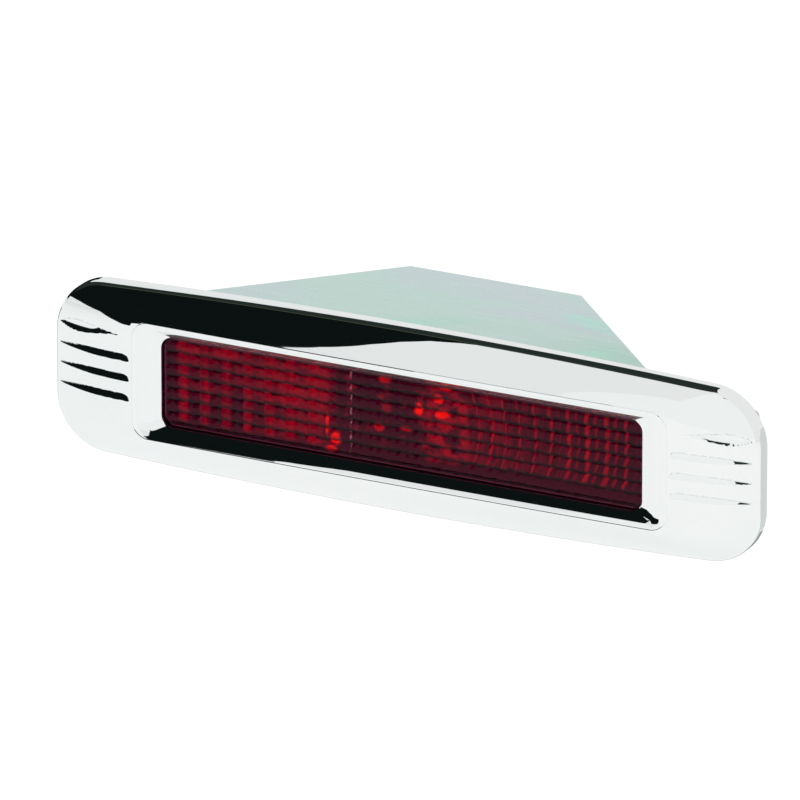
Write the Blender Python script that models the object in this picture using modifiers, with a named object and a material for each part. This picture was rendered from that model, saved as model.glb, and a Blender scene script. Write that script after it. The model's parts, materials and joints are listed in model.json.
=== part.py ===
"""Motorcycle tail light: chromed bezel, ribbed red lens, zinc-plated bucket, bayonet socket and bulb.

The frame: +X along the bezel, +Z up, -Y towards the viewer of the lens. The origin is the centre of
the plane of the bezel's back edge, which faces the panel that the light is bolted to. Metres.
"""
import math

import bmesh
import bpy
from mathutils import Matrix, Vector
from mathutils.bvhtree import BVHTree

# Gaps between pieces that touch on the real object.
GAP = 0.0002
THIN_GAP = 0.0001

# Bezel outline at the back edge: a long rounded rectangle whose top and bottom are bowed outwards.
BEZEL_HALF_LENGTH = 0.127
BEZEL_HALF_HEIGHT = 0.0287
BEZEL_BOW = 0.00305
BEZEL_CORNER = 0.018
BEZEL_WALL_DEPTH = 0.004
BEZEL_THICKNESS = 0.0025

# The edge where the bezel's crown meets the recess round the lens.
RECESS_HALF_LENGTH = 0.0965
RECESS_HALF_HEIGHT = 0.0201
RECESS_CORNER = 0.0065
RECESS_FRONT = -0.0112
RECESS_PLAN_CROWN = 0.0008
RECESS_LIP = 0.0009

# The hollow behind the crown: half length, half height and depth of each edge.
POCKET_FRONT = -0.0078
POCKET_INNER = (0.0985, 0.0220)
POCKET_OUTER = (0.1000, 0.0232)
RIM_INNER_FRONT = -0.0022

# Normals of the crown's two profiles, from straight ahead, at the recess and at the outer edge.
TOP_CROWN_ANGLES = (math.radians(13), math.radians(52))
END_CROWN_ANGLES = (math.radians(0), math.radians(26))
CROWN_RINGS = 5

# Lens opening, lens and the pieces that hold it.
OPENING_HALF_LENGTH = 0.0866
OPENING_HALF_HEIGHT = 0.0156
OPENING_CORNER = 0.0042
OPENING_FRONT = -0.0074
OPENING_BACK = -0.0056
SEAT_HALF_LENGTH = 0.0915
SEAT_HALF_HEIGHT = 0.0204
LENS_CLEARANCE = 0.0003
LENS_FRONT = -0.0070
LENS_RIB_HEIGHT = 0.0008
LENS_RIB_PITCH = 0.0041
LENS_RIBS = 8
LENS_RIB_STEPS = 5
LENS_FLANGE_WIDTH = 0.0034
LENS_FLANGE_THICKNESS = 0.002
LENS_GASKET_THICKNESS = 0.0006
LENS_GASKET_WIDTH = 0.0030
RETAINER_HALF_LENGTH = 0.1035
RETAINER_HALF_HEIGHT = 0.0230
RETAINER_THICKNESS = 0.0008

# Ornamental grooves pressed into each end of the bezel.
GROOVE_PITCH = 0.00685
OUTER_GROOVE_HEIGHT = 0.0143
GROOVE_INNER_X = 0.0992
LEAF_INNER_X = 0.1008
GROOVE_OUTER_X = 0.1248
GROOVE_RADIUS = 0.0012
LEAF_RADIUS = 0.0019
GROOVE_RISE = 0.2
GROOVE_TIP_WIDTH = 0.06
GROOVE_STATIONS = 9

# Bucket: a folded trapezoid box of zinc-plated sheet.
BUCKET_SHEET = 0.001
BUCKET_TOP = 0.02694
BUCKET_BACK = 0.0598
BUCKET_FRONT_HALF_WIDTH = 0.08745
BUCKET_BACK_HALF_WIDTH = 0.0309
EAR_HALF_WIDTH = 0.1025
EAR_HALF_HEIGHT = 0.017
SEAM_INSET = 0.0012
CUT_REACH = 0.002

# Fasteners.
SCREW_X = 0.0975
SCREW_Z = 0.0115
SCREW_RADIUS = 0.0017
SCREW_HEAD_RADIUS = 0.0033
SCREW_HEAD_HEIGHT = 0.0019
SCREW_LENGTH = 0.0062
SCREW_SLOT_HALF_LENGTH = 0.0018
SCREW_SLOT_HALF_WIDTH = 0.00035
SCREW_SLOT_DEPTH = 0.0009
STUD_X = 0.114
STUD_Z = 0.014
STUD_RADIUS = 0.0025
STUD_FRONT = -0.0052
STUD_BACK = 0.0165
STUD_CHAMFER = 0.0008
BOSS_RADIUS = 0.0042
SCREW_BOSS_FRONT = -0.0085
STUD_BOSS_FRONT = -0.0066
PANEL_GASKET_THICKNESS = 0.0015
PANEL_GASKET_INSET = 0.0016
PANEL_GASKET_INNER_HALF_LENGTH = 0.1065
PANEL_THICKNESS = 0.0025
WASHER_RADIUS = 0.005
WASHER_THICKNESS = 0.001
LOCK_WASHER_RADIUS = 0.0045
LOCK_WASHER_THICKNESS = 0.0012
SPLIT_HALF_WIDTH = 0.0003
SPLIT_TILT = math.radians(20)
NUT_RADIUS = 0.00462
NUT_THICKNESS = 0.004

# Bayonet socket and bulb, all turned about the Y axis.
SOCKET_FRONT = 0.0435
SOCKET_BACK = 0.0765
SOCKET_OUTER_RADIUS = 0.00825
SOCKET_INNER_RADIUS = 0.00765
SOCKET_FLANGE_HALF_WIDTH = 0.017
SOCKET_FLANGE_HALF_HEIGHT = 0.0115
SOCKET_FLANGE_CORNER = 0.004
SOCKET_RIVET_X = 0.0135
SOCKET_RIVET_RADIUS = 0.0015
SOCKET_RIVET_HEAD = 0.0007
SLOT_CLEARANCE = 0.0003
SLOT_INNER = 0.004
SLOT_OVERRUN = 0.001
PIN_RADIUS = 0.001
PIN_REACH = 0.0087
PIN_A_Y = 0.0510
PIN_B_Y = 0.0540
PUSH_TRAVEL = 0.0025
TURN_ANGLE = math.radians(20)
GLOBE_RADIUS = 0.01325
GLOBE_CENTRE_Y = 0.0248
GLOBE_STEPS = 10
GLASS_WALL = 0.0008
NECK_RADIUS = 0.0064
NECK_BACK = 0.0465
BASE_FRONT = 0.0427
BASE_BACK = 0.0610
BASE_RADIUS = 0.0075
BASE_WALL = 0.0005
BASE_END_BACK = 0.0625
BASE_END_FRONT = 0.0575
STEM_RADIUS = 0.0024
STEM_FRONT = 0.0335
STEM_BACK = 0.0550
FILAMENT_FOOT = 0.0535
FILAMENT_WIRE = 0.00022
FILAMENT_OFFSET = 0.0032
TAIL_FILAMENT_FRONT = 0.0265
TAIL_FILAMENT_HALF_SPAN = 0.0030
BRAKE_FILAMENT_FRONT = 0.0227
BRAKE_FILAMENT_HALF_SPAN = 0.0038
FILAMENT_FOLDS = 12
FILAMENT_FOLD_DEPTH = 0.0012
PAD_X = 0.0030
PAD_RADIUS = 0.0015
PAD_HEIGHT = 0.0009
PLATE_RADIUS = 0.0071
PLATE_THICKNESS = 0.0016
RIVET_HEAD = 0.0006
RIVET_RADIUS = 0.0008
RIVET_HEAD_RADIUS = 0.00144
SPRING_RADIUS = 0.0054
SPRING_WIRE = 0.0004
SPRING_TURNS = 4
SPRING_POINTS_PER_TURN = 12
CAP_THICKNESS = 0.0018
CAP_INSET = 0.0003
WIRE_HOLE_RADIUS = 0.0013

ROUND_STEPS = 32
GLASS_STEPS = 24
SMALL_STEPS = 16
PIN_STEPS = 12
MERGE = 0.00001
SHARP_ANGLE = math.radians(35)
SIDES = (-1, 1)

# Turned pieces are drawn about local Z; this lays local Z along world +Y.
ALONG_Y = Matrix.Rotation(math.radians(-90), 4, "X")


# ---------------------------------------------------------------- scene, collections and materials

def clear_scene():
    for obj in list(bpy.data.objects):
        bpy.data.objects.remove(obj, do_unlink=True)


def new_collection(name):
    collection = bpy.data.collections.new(name)
    bpy.context.scene.collection.children.link(collection)
    return collection


def add_material(name, colour, roughness, metallic=0.0, transmission=0.0):
    material = bpy.data.materials.new(name)
    material.use_nodes = True
    shader = material.node_tree.nodes["Principled BSDF"]
    shader.inputs["Base Color"].default_value = (*colour, 1.0)
    shader.inputs["Roughness"].default_value = roughness
    shader.inputs["Metallic"].default_value = metallic
    shader.inputs["Transmission Weight"].default_value = transmission
    return material


def add_object(name, data, finish, matrix=None):
    obj = bpy.data.objects.new(name, data)
    if matrix is not None:
        obj.matrix_world = matrix
    if finish is None:
        obj.hide_render = True
        obj.display_type = "WIRE"
        cutters.objects.link(obj)
    else:
        colour, roughness, metallic, transmission = finish
        data.materials.append(add_material(name, colour, roughness, metallic, transmission))
        parts.objects.link(obj)
    return obj


def mesh_object(name, bm, finish, matrix=None):
    mesh = bpy.data.meshes.new(name)
    bmesh.ops.recalc_face_normals(bm, faces=bm.faces)
    bm.to_mesh(mesh)
    bm.free()
    return add_object(name, mesh, finish, matrix)


def smooth(obj):
    obj.data.shade_smooth()
    obj.data.set_sharp_from_angle(angle=SHARP_ANGLE)


def place(x, y, z):
    return Matrix.Translation((x, y, z))


# ---------------------------------------------------------------- shapes

def cylinder(name, radius, start, end, finish=None, matrix=None, steps=SMALL_STEPS):
    """A round bar along local Z, from start to end."""
    bm = bmesh.new()
    turn = Matrix.Translation((0, 0, (start + end) / 2))
    bmesh.ops.create_cone(bm, cap_ends=True, segments=steps, radius1=radius, radius2=radius,
                          depth=end - start, matrix=turn)
    return mesh_object(name, bm, finish, matrix)


def box(name, low, high, finish=None, matrix=None):
    bm = bmesh.new()
    size = [b - a for a, b in zip(low, high)]
    middle = [(a + b) / 2 for a, b in zip(low, high)]
    bmesh.ops.create_cube(bm, size=1.0, matrix=Matrix.Translation(middle) @ Matrix.Diagonal((*size, 1.0)))
    return mesh_object(name, bm, finish, matrix)


def turned(name, profile, finish, matrix, steps=ROUND_STEPS, closed=True):
    """A profile of (radius, height) points, running down the outer side, turned about local Z."""
    mesh = bpy.data.meshes.new(name)
    edges = [(i, i + 1) for i in range(len(profile) - 1)]
    if closed:
        edges.append((len(profile) - 1, 0))
    mesh.from_pydata([(r, 0.0, h) for r, h in profile], edges, [])
    obj = add_object(name, mesh, finish, matrix)
    screw = obj.modifiers.new("turn", "SCREW")
    screw.axis = "Z"
    screw.steps = steps
    screw.render_steps = steps
    screw.use_merge_vertices = True
    screw.merge_threshold = MERGE
    screw.use_smooth_shade = True
    return obj


def flat_piece(name, outlines, thickness, matrix, finish):
    """A sheet cut to closed outlines of (x, y) points, centred on local z = 0."""
    curve = bpy.data.curves.new(name, "CURVE")
    curve.dimensions = "2D"
    curve.fill_mode = "BOTH"
    curve.extrude = thickness / 2
    curve.render_resolution_u = 0
    for outline in outlines:
        spline = curve.splines.new("POLY")
        spline.points.add(len(outline) - 1)
        spline.use_cyclic_u = True
        for point, (x, y) in zip(spline.points, outline):
            point.co = (x, y, 0.0, 1.0)
    return add_object(name, curve, finish, matrix)


def wire(name, points, radius, finish, matrix=None, radii=None):
    """A round wire through points, with closed ends."""
    curve = bpy.data.curves.new(name, "CURVE")
    curve.dimensions = "3D"
    curve.bevel_depth = radius
    curve.bevel_resolution = 2
    curve.use_fill_caps = True
    curve.render_resolution_u = 0
    spline = curve.splines.new("POLY")
    spline.points.add(len(points) - 1)
    for index, position in enumerate(points):
        spline.points[index].co = (*position, 1.0)
        spline.points[index].radius = 1.0 if radii is None else radii[index]
    return add_object(name, curve, finish, matrix)


def as_mesh(curve_object, finish=None):
    """The same shape as a welded mesh object, for cutting."""
    bpy.context.view_layer.update()
    evaluated = curve_object.evaluated_get(bpy.context.evaluated_depsgraph_get())
    mesh = bpy.data.meshes.new_from_object(evaluated)
    mesh.materials.clear()
    bm = bmesh.new()
    bm.from_mesh(mesh)
    bpy.data.meshes.remove(mesh)
    bmesh.ops.remove_doubles(bm, verts=bm.verts, dist=MERGE / 10)
    name = curve_object.name
    matrix = curve_object.matrix_world.copy()
    bpy.data.objects.remove(curve_object, do_unlink=True)
    return mesh_object(name, bm, finish, matrix)


def combine(obj, tool, operation):
    modifier = obj.modifiers.new(tool.name, "BOOLEAN")
    modifier.operation = operation
    modifier.solver = "EXACT"
    modifier.object = tool
    return obj


def cut(obj, *tools):
    for tool in tools:
        combine(obj, tool, "DIFFERENCE")


def join(obj, *tools):
    for tool in tools:
        combine(obj, tool, "UNION")


def circle(radius, steps=SMALL_STEPS, x=0.0, y=0.0):
    turns = [2 * math.pi * i / steps for i in range(steps)]
    return [(x + radius * math.cos(t), y + radius * math.sin(t)) for t in turns]


# ---------------------------------------------------------------- outlines of the bezel and lens

CORNER_STEPS = 6
LONG_STEPS = 16
SHORT_STEPS = 6


def rounded_rectangle(half_length, half_height, corner, bow=0.0):
    """Points (x, z, end) round a rectangle; end is 0 on the long sides and 1 on the short ones.

    The bow pushes the long sides outwards, by most at x = 0, on the bezel's own length.
    """
    quarter = []
    for i in range(LONG_STEPS // 2):
        quarter.append((2 * i / LONG_STEPS * (half_length - corner), half_height, 0.0))
    for i in range(CORNER_STEPS + 1):
        turn = math.pi / 2 * i / CORNER_STEPS
        x = half_length - corner + corner * math.sin(turn)
        z = half_height - corner + corner * math.cos(turn)
        quarter.append((x, z, math.sin(turn) ** 2))
    for i in range(1, SHORT_STEPS // 2):
        quarter.append((half_length, (half_height - corner) * (1 - 2 * i / SHORT_STEPS), 1.0))
    points = list(quarter)
    points.append((half_length, 0.0, 1.0))
    points.extend((x, -z, end) for x, z, end in reversed(quarter))
    points.extend((-x, -z, end) for x, z, end in quarter[1:])
    points.append((-half_length, 0.0, 1.0))
    points.extend((-x, z, end) for x, z, end in reversed(quarter[1:]))
    bowed = []
    for x, z, end in points:
        push = bow * (1 - (x / BEZEL_HALF_LENGTH) ** 2) * z / half_height
        bowed.append((x, z + push, end))
    return bowed


def plain_outline(half_length, half_height, corner):
    """A rounded rectangle with points on its corners only."""
    quarter = []
    for i in range(CORNER_STEPS + 1):
        turn = math.pi / 2 * i / CORNER_STEPS
        quarter.append((half_length - corner * (1 - math.sin(turn)), half_height - corner * (1 - math.cos(turn))))
    points = list(quarter)
    points.extend((x, -z) for x, z in reversed(quarter))
    points.extend((-x, -z) for x, z in quarter)
    points.extend((-x, z) for x, z in reversed(quarter))
    return points


def bowed_outline(half_length, half_height, corner):
    return [(x, z) for x, z, _ in rounded_rectangle(half_length, half_height, corner, BEZEL_BOW)]


def ring(half_length, half_height, corner, y, bow=0.0):
    """A ring of points at one depth."""
    outline = rounded_rectangle(half_length, half_height, corner, bow)
    return [Vector((x, y, z)) for x, z, _ in outline]


def arc_share(angles, share):
    """How far along (0 to 1) and how high (0 to 1) a circular arc is at a share of its turn."""
    start, end = angles
    angle = start + (end - start) * share
    along = (math.sin(angle) - math.sin(start)) / (math.sin(end) - math.sin(start))
    height = (math.cos(start) - math.cos(angle)) / (math.cos(start) - math.cos(end))
    return along, height


def mix(a, b, share):
    return a + (b - a) * share


def crown_ring(share):
    """A ring on the bezel's crown, from the recess edge (0) to the outer edge (1)."""
    top_along, top_height = arc_share(TOP_CROWN_ANGLES, share)
    end_along, end_height = arc_share(END_CROWN_ANGLES, share)
    half_length = mix(RECESS_HALF_LENGTH, BEZEL_HALF_LENGTH, end_along)
    half_height = mix(RECESS_HALF_HEIGHT, BEZEL_HALF_HEIGHT, top_along)
    corner = mix(RECESS_CORNER, BEZEL_CORNER, share)
    ring_points = []
    for x, z, end in rounded_rectangle(half_length, half_height, corner, BEZEL_BOW * top_along):
        plan = RECESS_PLAN_CROWN * min(1.0, (x / RECESS_HALF_LENGTH) ** 2)
        fall = mix(top_height, end_height, end)
        y = mix(RECESS_FRONT + plan, -BEZEL_WALL_DEPTH, fall)
        ring_points.append(Vector((x, y, z)))
    return ring_points


def recess_lip_ring(inset, drop):
    """A ring just inside the recess edge, which rounds it over."""
    outline = rounded_rectangle(RECESS_HALF_LENGTH - inset, RECESS_HALF_HEIGHT - inset,
                                RECESS_CORNER - inset)
    ring_points = []
    for x, z, _ in outline:
        plan = RECESS_PLAN_CROWN * min(1.0, (x / RECESS_HALF_LENGTH) ** 2)
        ring_points.append(Vector((x, RECESS_FRONT + plan + drop, z)))
    return ring_points


def loft(name, rings, finish):
    """A closed skin through rings of equal count, the last ring joined back to the first."""
    bm = bmesh.new()
    rows = [[bm.verts.new(point) for point in points] for points in rings]
    count = len(rows[0])
    for row, following in zip(rows, rows[1:] + rows[:1]):
        for i in range(count):
            j = (i + 1) % count
            bm.faces.new((row[i], row[j], following[j], following[i]))
    return mesh_object(name, bm, finish)


# ---------------------------------------------------------------- finishes: colour, roughness, metallic, glass

CHROME = ((0.80, 0.83, 0.83), 0.06, 1.0, 0.0)
ZINC = ((0.62, 0.68, 0.64), 0.30, 1.0, 0.0)
STEEL = ((0.55, 0.56, 0.56), 0.30, 1.0, 0.0)
BRASS = ((0.71, 0.52, 0.25), 0.28, 1.0, 0.0)
SOLDER = ((0.66, 0.66, 0.68), 0.35, 1.0, 0.0)
TUNGSTEN = ((0.30, 0.30, 0.31), 0.45, 1.0, 0.0)
RUBBER = ((0.02, 0.02, 0.02), 0.75, 0.0, 0.0)
PHENOLIC = ((0.14, 0.07, 0.04), 0.45, 0.0, 0.0)
BLACK_GLASS = ((0.02, 0.02, 0.03), 0.15, 0.0, 0.0)
RED_LENS = ((0.45, 0.0, 0.01), 0.08, 0.0, 0.6)
CLEAR_GLASS = ((0.95, 0.97, 0.97), 0.03, 0.0, 0.9)


# ---------------------------------------------------------------- bezel

def front_surface(obj):
    """A function that finds the depth of an object's front at a point (x, z)."""
    bm = bmesh.new()
    bm.from_mesh(obj.data)
    tree = BVHTree.FromBMesh(bm)
    bm.free()

    def depth(x, z):
        hit = tree.ray_cast(Vector((x, -1.0, z)), Vector((0.0, 1.0, 0.0)))
        return hit[0].y
    return depth


def slim_width(share):
    """Relative width of a slim groove: blunt at the inner end, pointed at the outer one."""
    return max(GROOVE_TIP_WIDTH, 1 - share ** 4)


def leaf_width(share):
    """Relative width of a leaf-shaped groove, pointed at both ends."""
    return max(GROOVE_TIP_WIDTH, math.sin(math.pi * share ** 1.6))


def groove_cutter(depth, side, z, inner_x, widest, width_rule):
    """A tapering spindle that follows the front of the bezel's end."""
    points = []
    radii = []
    for i in range(GROOVE_STATIONS):
        share = i / (GROOVE_STATIONS - 1)
        x = side * mix(inner_x, GROOVE_OUTER_X, share)
        points.append((x, depth(x, z) - GROOVE_RISE * widest, z))
        radii.append(width_rule(share))
    name = "groove_cutter_%d_%d" % (side, round(z / GROOVE_PITCH))
    return as_mesh(wire(name, points, widest, None, radii=radii))


def make_grooves(bezel, depth):
    for side in SIDES:
        for row in (-1, 0, 1):
            z = row * GROOVE_PITCH
            cut(bezel, groove_cutter(depth, side, z, GROOVE_INNER_X, GROOVE_RADIUS, slim_width))
        for row in SIDES:
            z = row * OUTER_GROOVE_HEIGHT
            cut(bezel, groove_cutter(depth, side, z, LEAF_INNER_X, LEAF_RADIUS, leaf_width))


def corners(x, z):
    return [(side * x, level * z) for side in SIDES for level in SIDES]


def make_bosses(bezel):
    """Bosses on the back of the bezel: short ones for the bucket screws, full ones for the studs."""
    screw_end = screw_seat_y() - SCREW_LENGTH
    for index, (x, z) in enumerate(corners(SCREW_X, SCREW_Z), 1):
        boss_back = retainer_front_y() - THIN_GAP
        join(bezel, cylinder("screw_boss_%d" % index, BOSS_RADIUS, SCREW_BOSS_FRONT, boss_back,
                             matrix=place(x, 0, z) @ ALONG_Y))
        cut(bezel, cylinder("screw_hole_%d" % index, SCREW_RADIUS + GAP, screw_end - GAP,
                            boss_back + GAP, matrix=place(x, 0, z) @ ALONG_Y))
    for index, (x, z) in enumerate(corners(STUD_X, STUD_Z), 1):
        join(bezel, cylinder("stud_boss_%d" % index, BOSS_RADIUS, STUD_BOSS_FRONT, -GAP,
                             matrix=place(x, 0, z) @ ALONG_Y))
        cut(bezel, cylinder("stud_hole_%d" % index, STUD_RADIUS + GAP, STUD_FRONT - GAP, GAP,
                            matrix=place(x, 0, z) @ ALONG_Y))


def make_bezel():
    rings = [ring(BEZEL_HALF_LENGTH, BEZEL_HALF_HEIGHT, BEZEL_CORNER, 0.0, BEZEL_BOW)]
    rings.extend(crown_ring(1 - i / CROWN_RINGS) for i in range(CROWN_RINGS + 1))
    rings.append(recess_lip_ring(RECESS_LIP / 2, RECESS_LIP / 5))
    rings.append(recess_lip_ring(RECESS_LIP, RECESS_LIP))
    rings.append(ring(OPENING_HALF_LENGTH, OPENING_HALF_HEIGHT, OPENING_CORNER, OPENING_FRONT))
    rings.append(ring(OPENING_HALF_LENGTH, OPENING_HALF_HEIGHT, OPENING_CORNER, OPENING_BACK))
    rings.append(ring(SEAT_HALF_LENGTH, SEAT_HALF_HEIGHT, RECESS_CORNER, OPENING_BACK))
    rings.append(ring(*POCKET_INNER, RECESS_CORNER, POCKET_FRONT))
    rings.append(ring(*POCKET_OUTER, RECESS_CORNER, POCKET_FRONT))
    inner_length = BEZEL_HALF_LENGTH - BEZEL_THICKNESS
    inner_height = BEZEL_HALF_HEIGHT - BEZEL_THICKNESS
    inner_corner = BEZEL_CORNER - BEZEL_THICKNESS
    rings.append(ring(inner_length, inner_height, inner_corner, RIM_INNER_FRONT, BEZEL_BOW))
    rings.append(ring(inner_length, inner_height, inner_corner, 0.0, BEZEL_BOW))
    bezel = loft("bezel", rings, CHROME)
    depth = front_surface(bezel)
    make_bosses(bezel)
    make_grooves(bezel, depth)
    smooth(bezel)


# ---------------------------------------------------------------- lens, its gasket and its retainer

UPRIGHT = Matrix.Rotation(math.radians(90), 4, "X")


def flange_front_y():
    return OPENING_BACK + THIN_GAP + LENS_GASKET_THICKNESS + THIN_GAP


def flange_back_y():
    return flange_front_y() + LENS_FLANGE_THICKNESS


def retainer_front_y():
    return flange_back_y() + GAP


def ear_front_y():
    return retainer_front_y() + RETAINER_THICKNESS + THIN_GAP


def screw_seat_y():
    return ear_front_y() + BUCKET_SHEET + THIN_GAP


def sheet_at(front, thickness):
    """The matrix that stands a flat piece upright with its front face at the given depth."""
    return place(0, front + thickness / 2, 0) @ UPRIGHT


def rib_profile(back):
    """The lens's section: pillow-shaped ribs one above the other, closed along a plane behind."""
    outline = []
    half_height = LENS_RIBS * LENS_RIB_PITCH / 2
    for i in range(LENS_RIBS * LENS_RIB_STEPS + 1):
        z = mix(-half_height, half_height, i / (LENS_RIBS * LENS_RIB_STEPS))
        bulge = abs(math.sin(math.pi * i / LENS_RIB_STEPS))
        outline.append((z, LENS_FRONT + LENS_RIB_HEIGHT * (1 - bulge)))
    outline.append((half_height, back))
    outline.append((-half_height, back))
    return outline


def make_lens():
    half_length = OPENING_HALF_LENGTH - LENS_CLEARANCE
    half_height = OPENING_HALF_HEIGHT - LENS_CLEARANCE
    back = flange_front_y() + LENS_FLANGE_THICKNESS / 2
    along_x = Matrix.Rotation(math.radians(90), 4, "Y")
    lens = as_mesh(flat_piece("lens", [rib_profile(back)], 2.2 * half_length, along_x, None), RED_LENS)
    depth = 2 * (back - LENS_FRONT)
    outline = plain_outline(half_length, half_height, OPENING_CORNER)
    body = as_mesh(flat_piece("lens_outline", [outline], depth, sheet_at(LENS_FRONT - GAP, depth), None))
    combine(lens, body, "INTERSECT")
    flange_outline = plain_outline(half_length + LENS_FLANGE_WIDTH, half_height + LENS_FLANGE_WIDTH,
                                   OPENING_CORNER + LENS_FLANGE_WIDTH)
    join(lens, as_mesh(flat_piece("lens_flange", [flange_outline], LENS_FLANGE_THICKNESS,
                                  sheet_at(flange_front_y(), LENS_FLANGE_THICKNESS), None)))
    smooth(lens)


def make_lens_gasket():
    outer = plain_outline(OPENING_HALF_LENGTH + LENS_GASKET_WIDTH, OPENING_HALF_HEIGHT + LENS_GASKET_WIDTH,
                          OPENING_CORNER + LENS_GASKET_WIDTH)
    inner = plain_outline(OPENING_HALF_LENGTH + LENS_CLEARANCE, OPENING_HALF_HEIGHT + LENS_CLEARANCE,
                          OPENING_CORNER)
    flat_piece("lens_gasket", [outer, inner], LENS_GASKET_THICKNESS,
               sheet_at(OPENING_BACK + THIN_GAP, LENS_GASKET_THICKNESS), RUBBER)


def screw_holes(radius):
    return [circle(radius, x=x, y=z) for x, z in corners(SCREW_X, SCREW_Z)]


def make_lens_retainer():
    outer = plain_outline(RETAINER_HALF_LENGTH, RETAINER_HALF_HEIGHT, RECESS_CORNER)
    inner = plain_outline(OPENING_HALF_LENGTH + 2 * LENS_CLEARANCE, OPENING_HALF_HEIGHT + 2 * LENS_CLEARANCE,
                          OPENING_CORNER)
    flat_piece("lens_retainer", [outer, inner] + screw_holes(SCREW_RADIUS + GAP), RETAINER_THICKNESS,
               sheet_at(retainer_front_y(), RETAINER_THICKNESS), ZINC)


def make_panel_gasket():
    inset = PANEL_GASKET_INSET
    outer = bowed_outline(BEZEL_HALF_LENGTH - inset, BEZEL_HALF_HEIGHT - inset, BEZEL_CORNER - inset)
    inner = bowed_outline(PANEL_GASKET_INNER_HALF_LENGTH, BEZEL_HALF_HEIGHT - BEZEL_THICKNESS - inset / 4,
                          BEZEL_CORNER / 2)
    holes = [circle(STUD_RADIUS + 2 * GAP, x=x, y=z) for x, z in corners(STUD_X, STUD_Z)]
    flat_piece("panel_gasket", [outer, inner] + holes, PANEL_GASKET_THICKNESS,
               sheet_at(THIN_GAP, PANEL_GASKET_THICKNESS), RUBBER)


# ---------------------------------------------------------------- bucket

def bucket_half_width(y):
    """Half width of the bucket's outside at a depth y."""
    return mix(BUCKET_FRONT_HALF_WIDTH, BUCKET_BACK_HALF_WIDTH, y / BUCKET_BACK)


def make_bucket_plates():
    front = ear_front_y() + BUCKET_SHEET / 2
    outline = [
        (-bucket_half_width(front), front),
        (bucket_half_width(front), front),
        (BUCKET_BACK_HALF_WIDTH, BUCKET_BACK),
        (-BUCKET_BACK_HALF_WIDTH, BUCKET_BACK),
    ]
    middle = BUCKET_TOP - BUCKET_SHEET / 2
    for name, z in (("bucket_top_plate", middle), ("bucket_bottom_plate", -middle)):
        flat_piece(name, [outline], BUCKET_SHEET, place(0, 0, z), ZINC)


def make_bucket_wrap():
    """The bucket's sides, back and fixing ears, folded from one strip."""
    middle = BUCKET_SHEET / 2
    ear_y = ear_front_y() + middle
    wall_half_height = BUCKET_TOP - BUCKET_SHEET - THIN_GAP
    path = [
        (EAR_HALF_WIDTH, ear_y),
        (bucket_half_width(ear_y) - SEAM_INSET, ear_y),
        (BUCKET_BACK_HALF_WIDTH - SEAM_INSET, BUCKET_BACK - SEAM_INSET),
    ]
    path.extend((-x, y) for x, y in reversed(path[:3]))
    levels = (-wall_half_height, -EAR_HALF_HEIGHT, EAR_HALF_HEIGHT, wall_half_height)
    bm = bmesh.new()
    columns = [[bm.verts.new((x, y, z)) for z in levels] for x, y in path]
    for column, following in zip(columns, columns[1:]):
        is_ear = column is columns[0] or following is columns[-1]
        for i in range(len(levels) - 1):
            if is_ear and i != 1:
                continue
            bm.faces.new((column[i], column[i + 1], following[i + 1], following[i]))
    loose = [vert for vert in bm.verts if not vert.link_faces]
    bmesh.ops.delete(bm, geom=loose, context="VERTS")
    wrap = mesh_object("bucket_wrap", bm, ZINC)
    sheet = wrap.modifiers.new("sheet", "SOLIDIFY")
    sheet.thickness = BUCKET_SHEET
    sheet.offset = 0.0
    sheet.use_even_offset = True
    hole_front = BUCKET_BACK - 2 * CUT_REACH
    hole_back = BUCKET_BACK + CUT_REACH
    cut(wrap, cylinder("socket_hole", SOCKET_OUTER_RADIUS + GAP, hole_front, hole_back,
                       matrix=ALONG_Y, steps=ROUND_STEPS))
    for x in (-SOCKET_RIVET_X, SOCKET_RIVET_X):
        cut(wrap, cylinder("socket_rivet_hole", SOCKET_RIVET_RADIUS + GAP, hole_front, hole_back,
                           matrix=place(x, 0, 0) @ ALONG_Y))
    for x, z in corners(SCREW_X, SCREW_Z):
        cut(wrap, cylinder("ear_hole", SCREW_RADIUS + GAP, ear_y - CUT_REACH, ear_y + CUT_REACH,
                           matrix=place(x, 0, z) @ ALONG_Y))


# ---------------------------------------------------------------- fasteners

def make_bucket_screws():
    seat = screw_seat_y()
    for index, (x, z) in enumerate(corners(SCREW_X, SCREW_Z), 1):
        profile = [
            (0.0, SCREW_HEAD_HEIGHT),
            (SCREW_HEAD_RADIUS * 0.75, SCREW_HEAD_HEIGHT),
            (SCREW_HEAD_RADIUS, SCREW_HEAD_HEIGHT * 0.6),
            (SCREW_HEAD_RADIUS, 0.0),
            (SCREW_RADIUS, 0.0),
            (SCREW_RADIUS, -SCREW_LENGTH + SCREW_RADIUS),
            (0.0, -SCREW_LENGTH),
        ]
        screw = turned("bucket_screw_%d" % index, profile, STEEL, place(x, seat, z) @ ALONG_Y,
                       steps=SMALL_STEPS, closed=False)
        for turn in (0, 90):
            low = (-SCREW_SLOT_HALF_LENGTH, -SCREW_SLOT_HALF_WIDTH, SCREW_HEAD_HEIGHT - SCREW_SLOT_DEPTH)
            high = (SCREW_SLOT_HALF_LENGTH, SCREW_SLOT_HALF_WIDTH, SCREW_HEAD_HEIGHT + SCREW_SLOT_DEPTH)
            turned_matrix = place(x, seat, z) @ ALONG_Y @ Matrix.Rotation(math.radians(turn), 4, "Z")
            cut(screw, box("screw_slot_%d_%d" % (index, turn), low, high, matrix=turned_matrix))


def ring_profile(outer, inner, start, end):
    return [(outer, end), (outer, start), (inner, start), (inner, end)]


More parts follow.
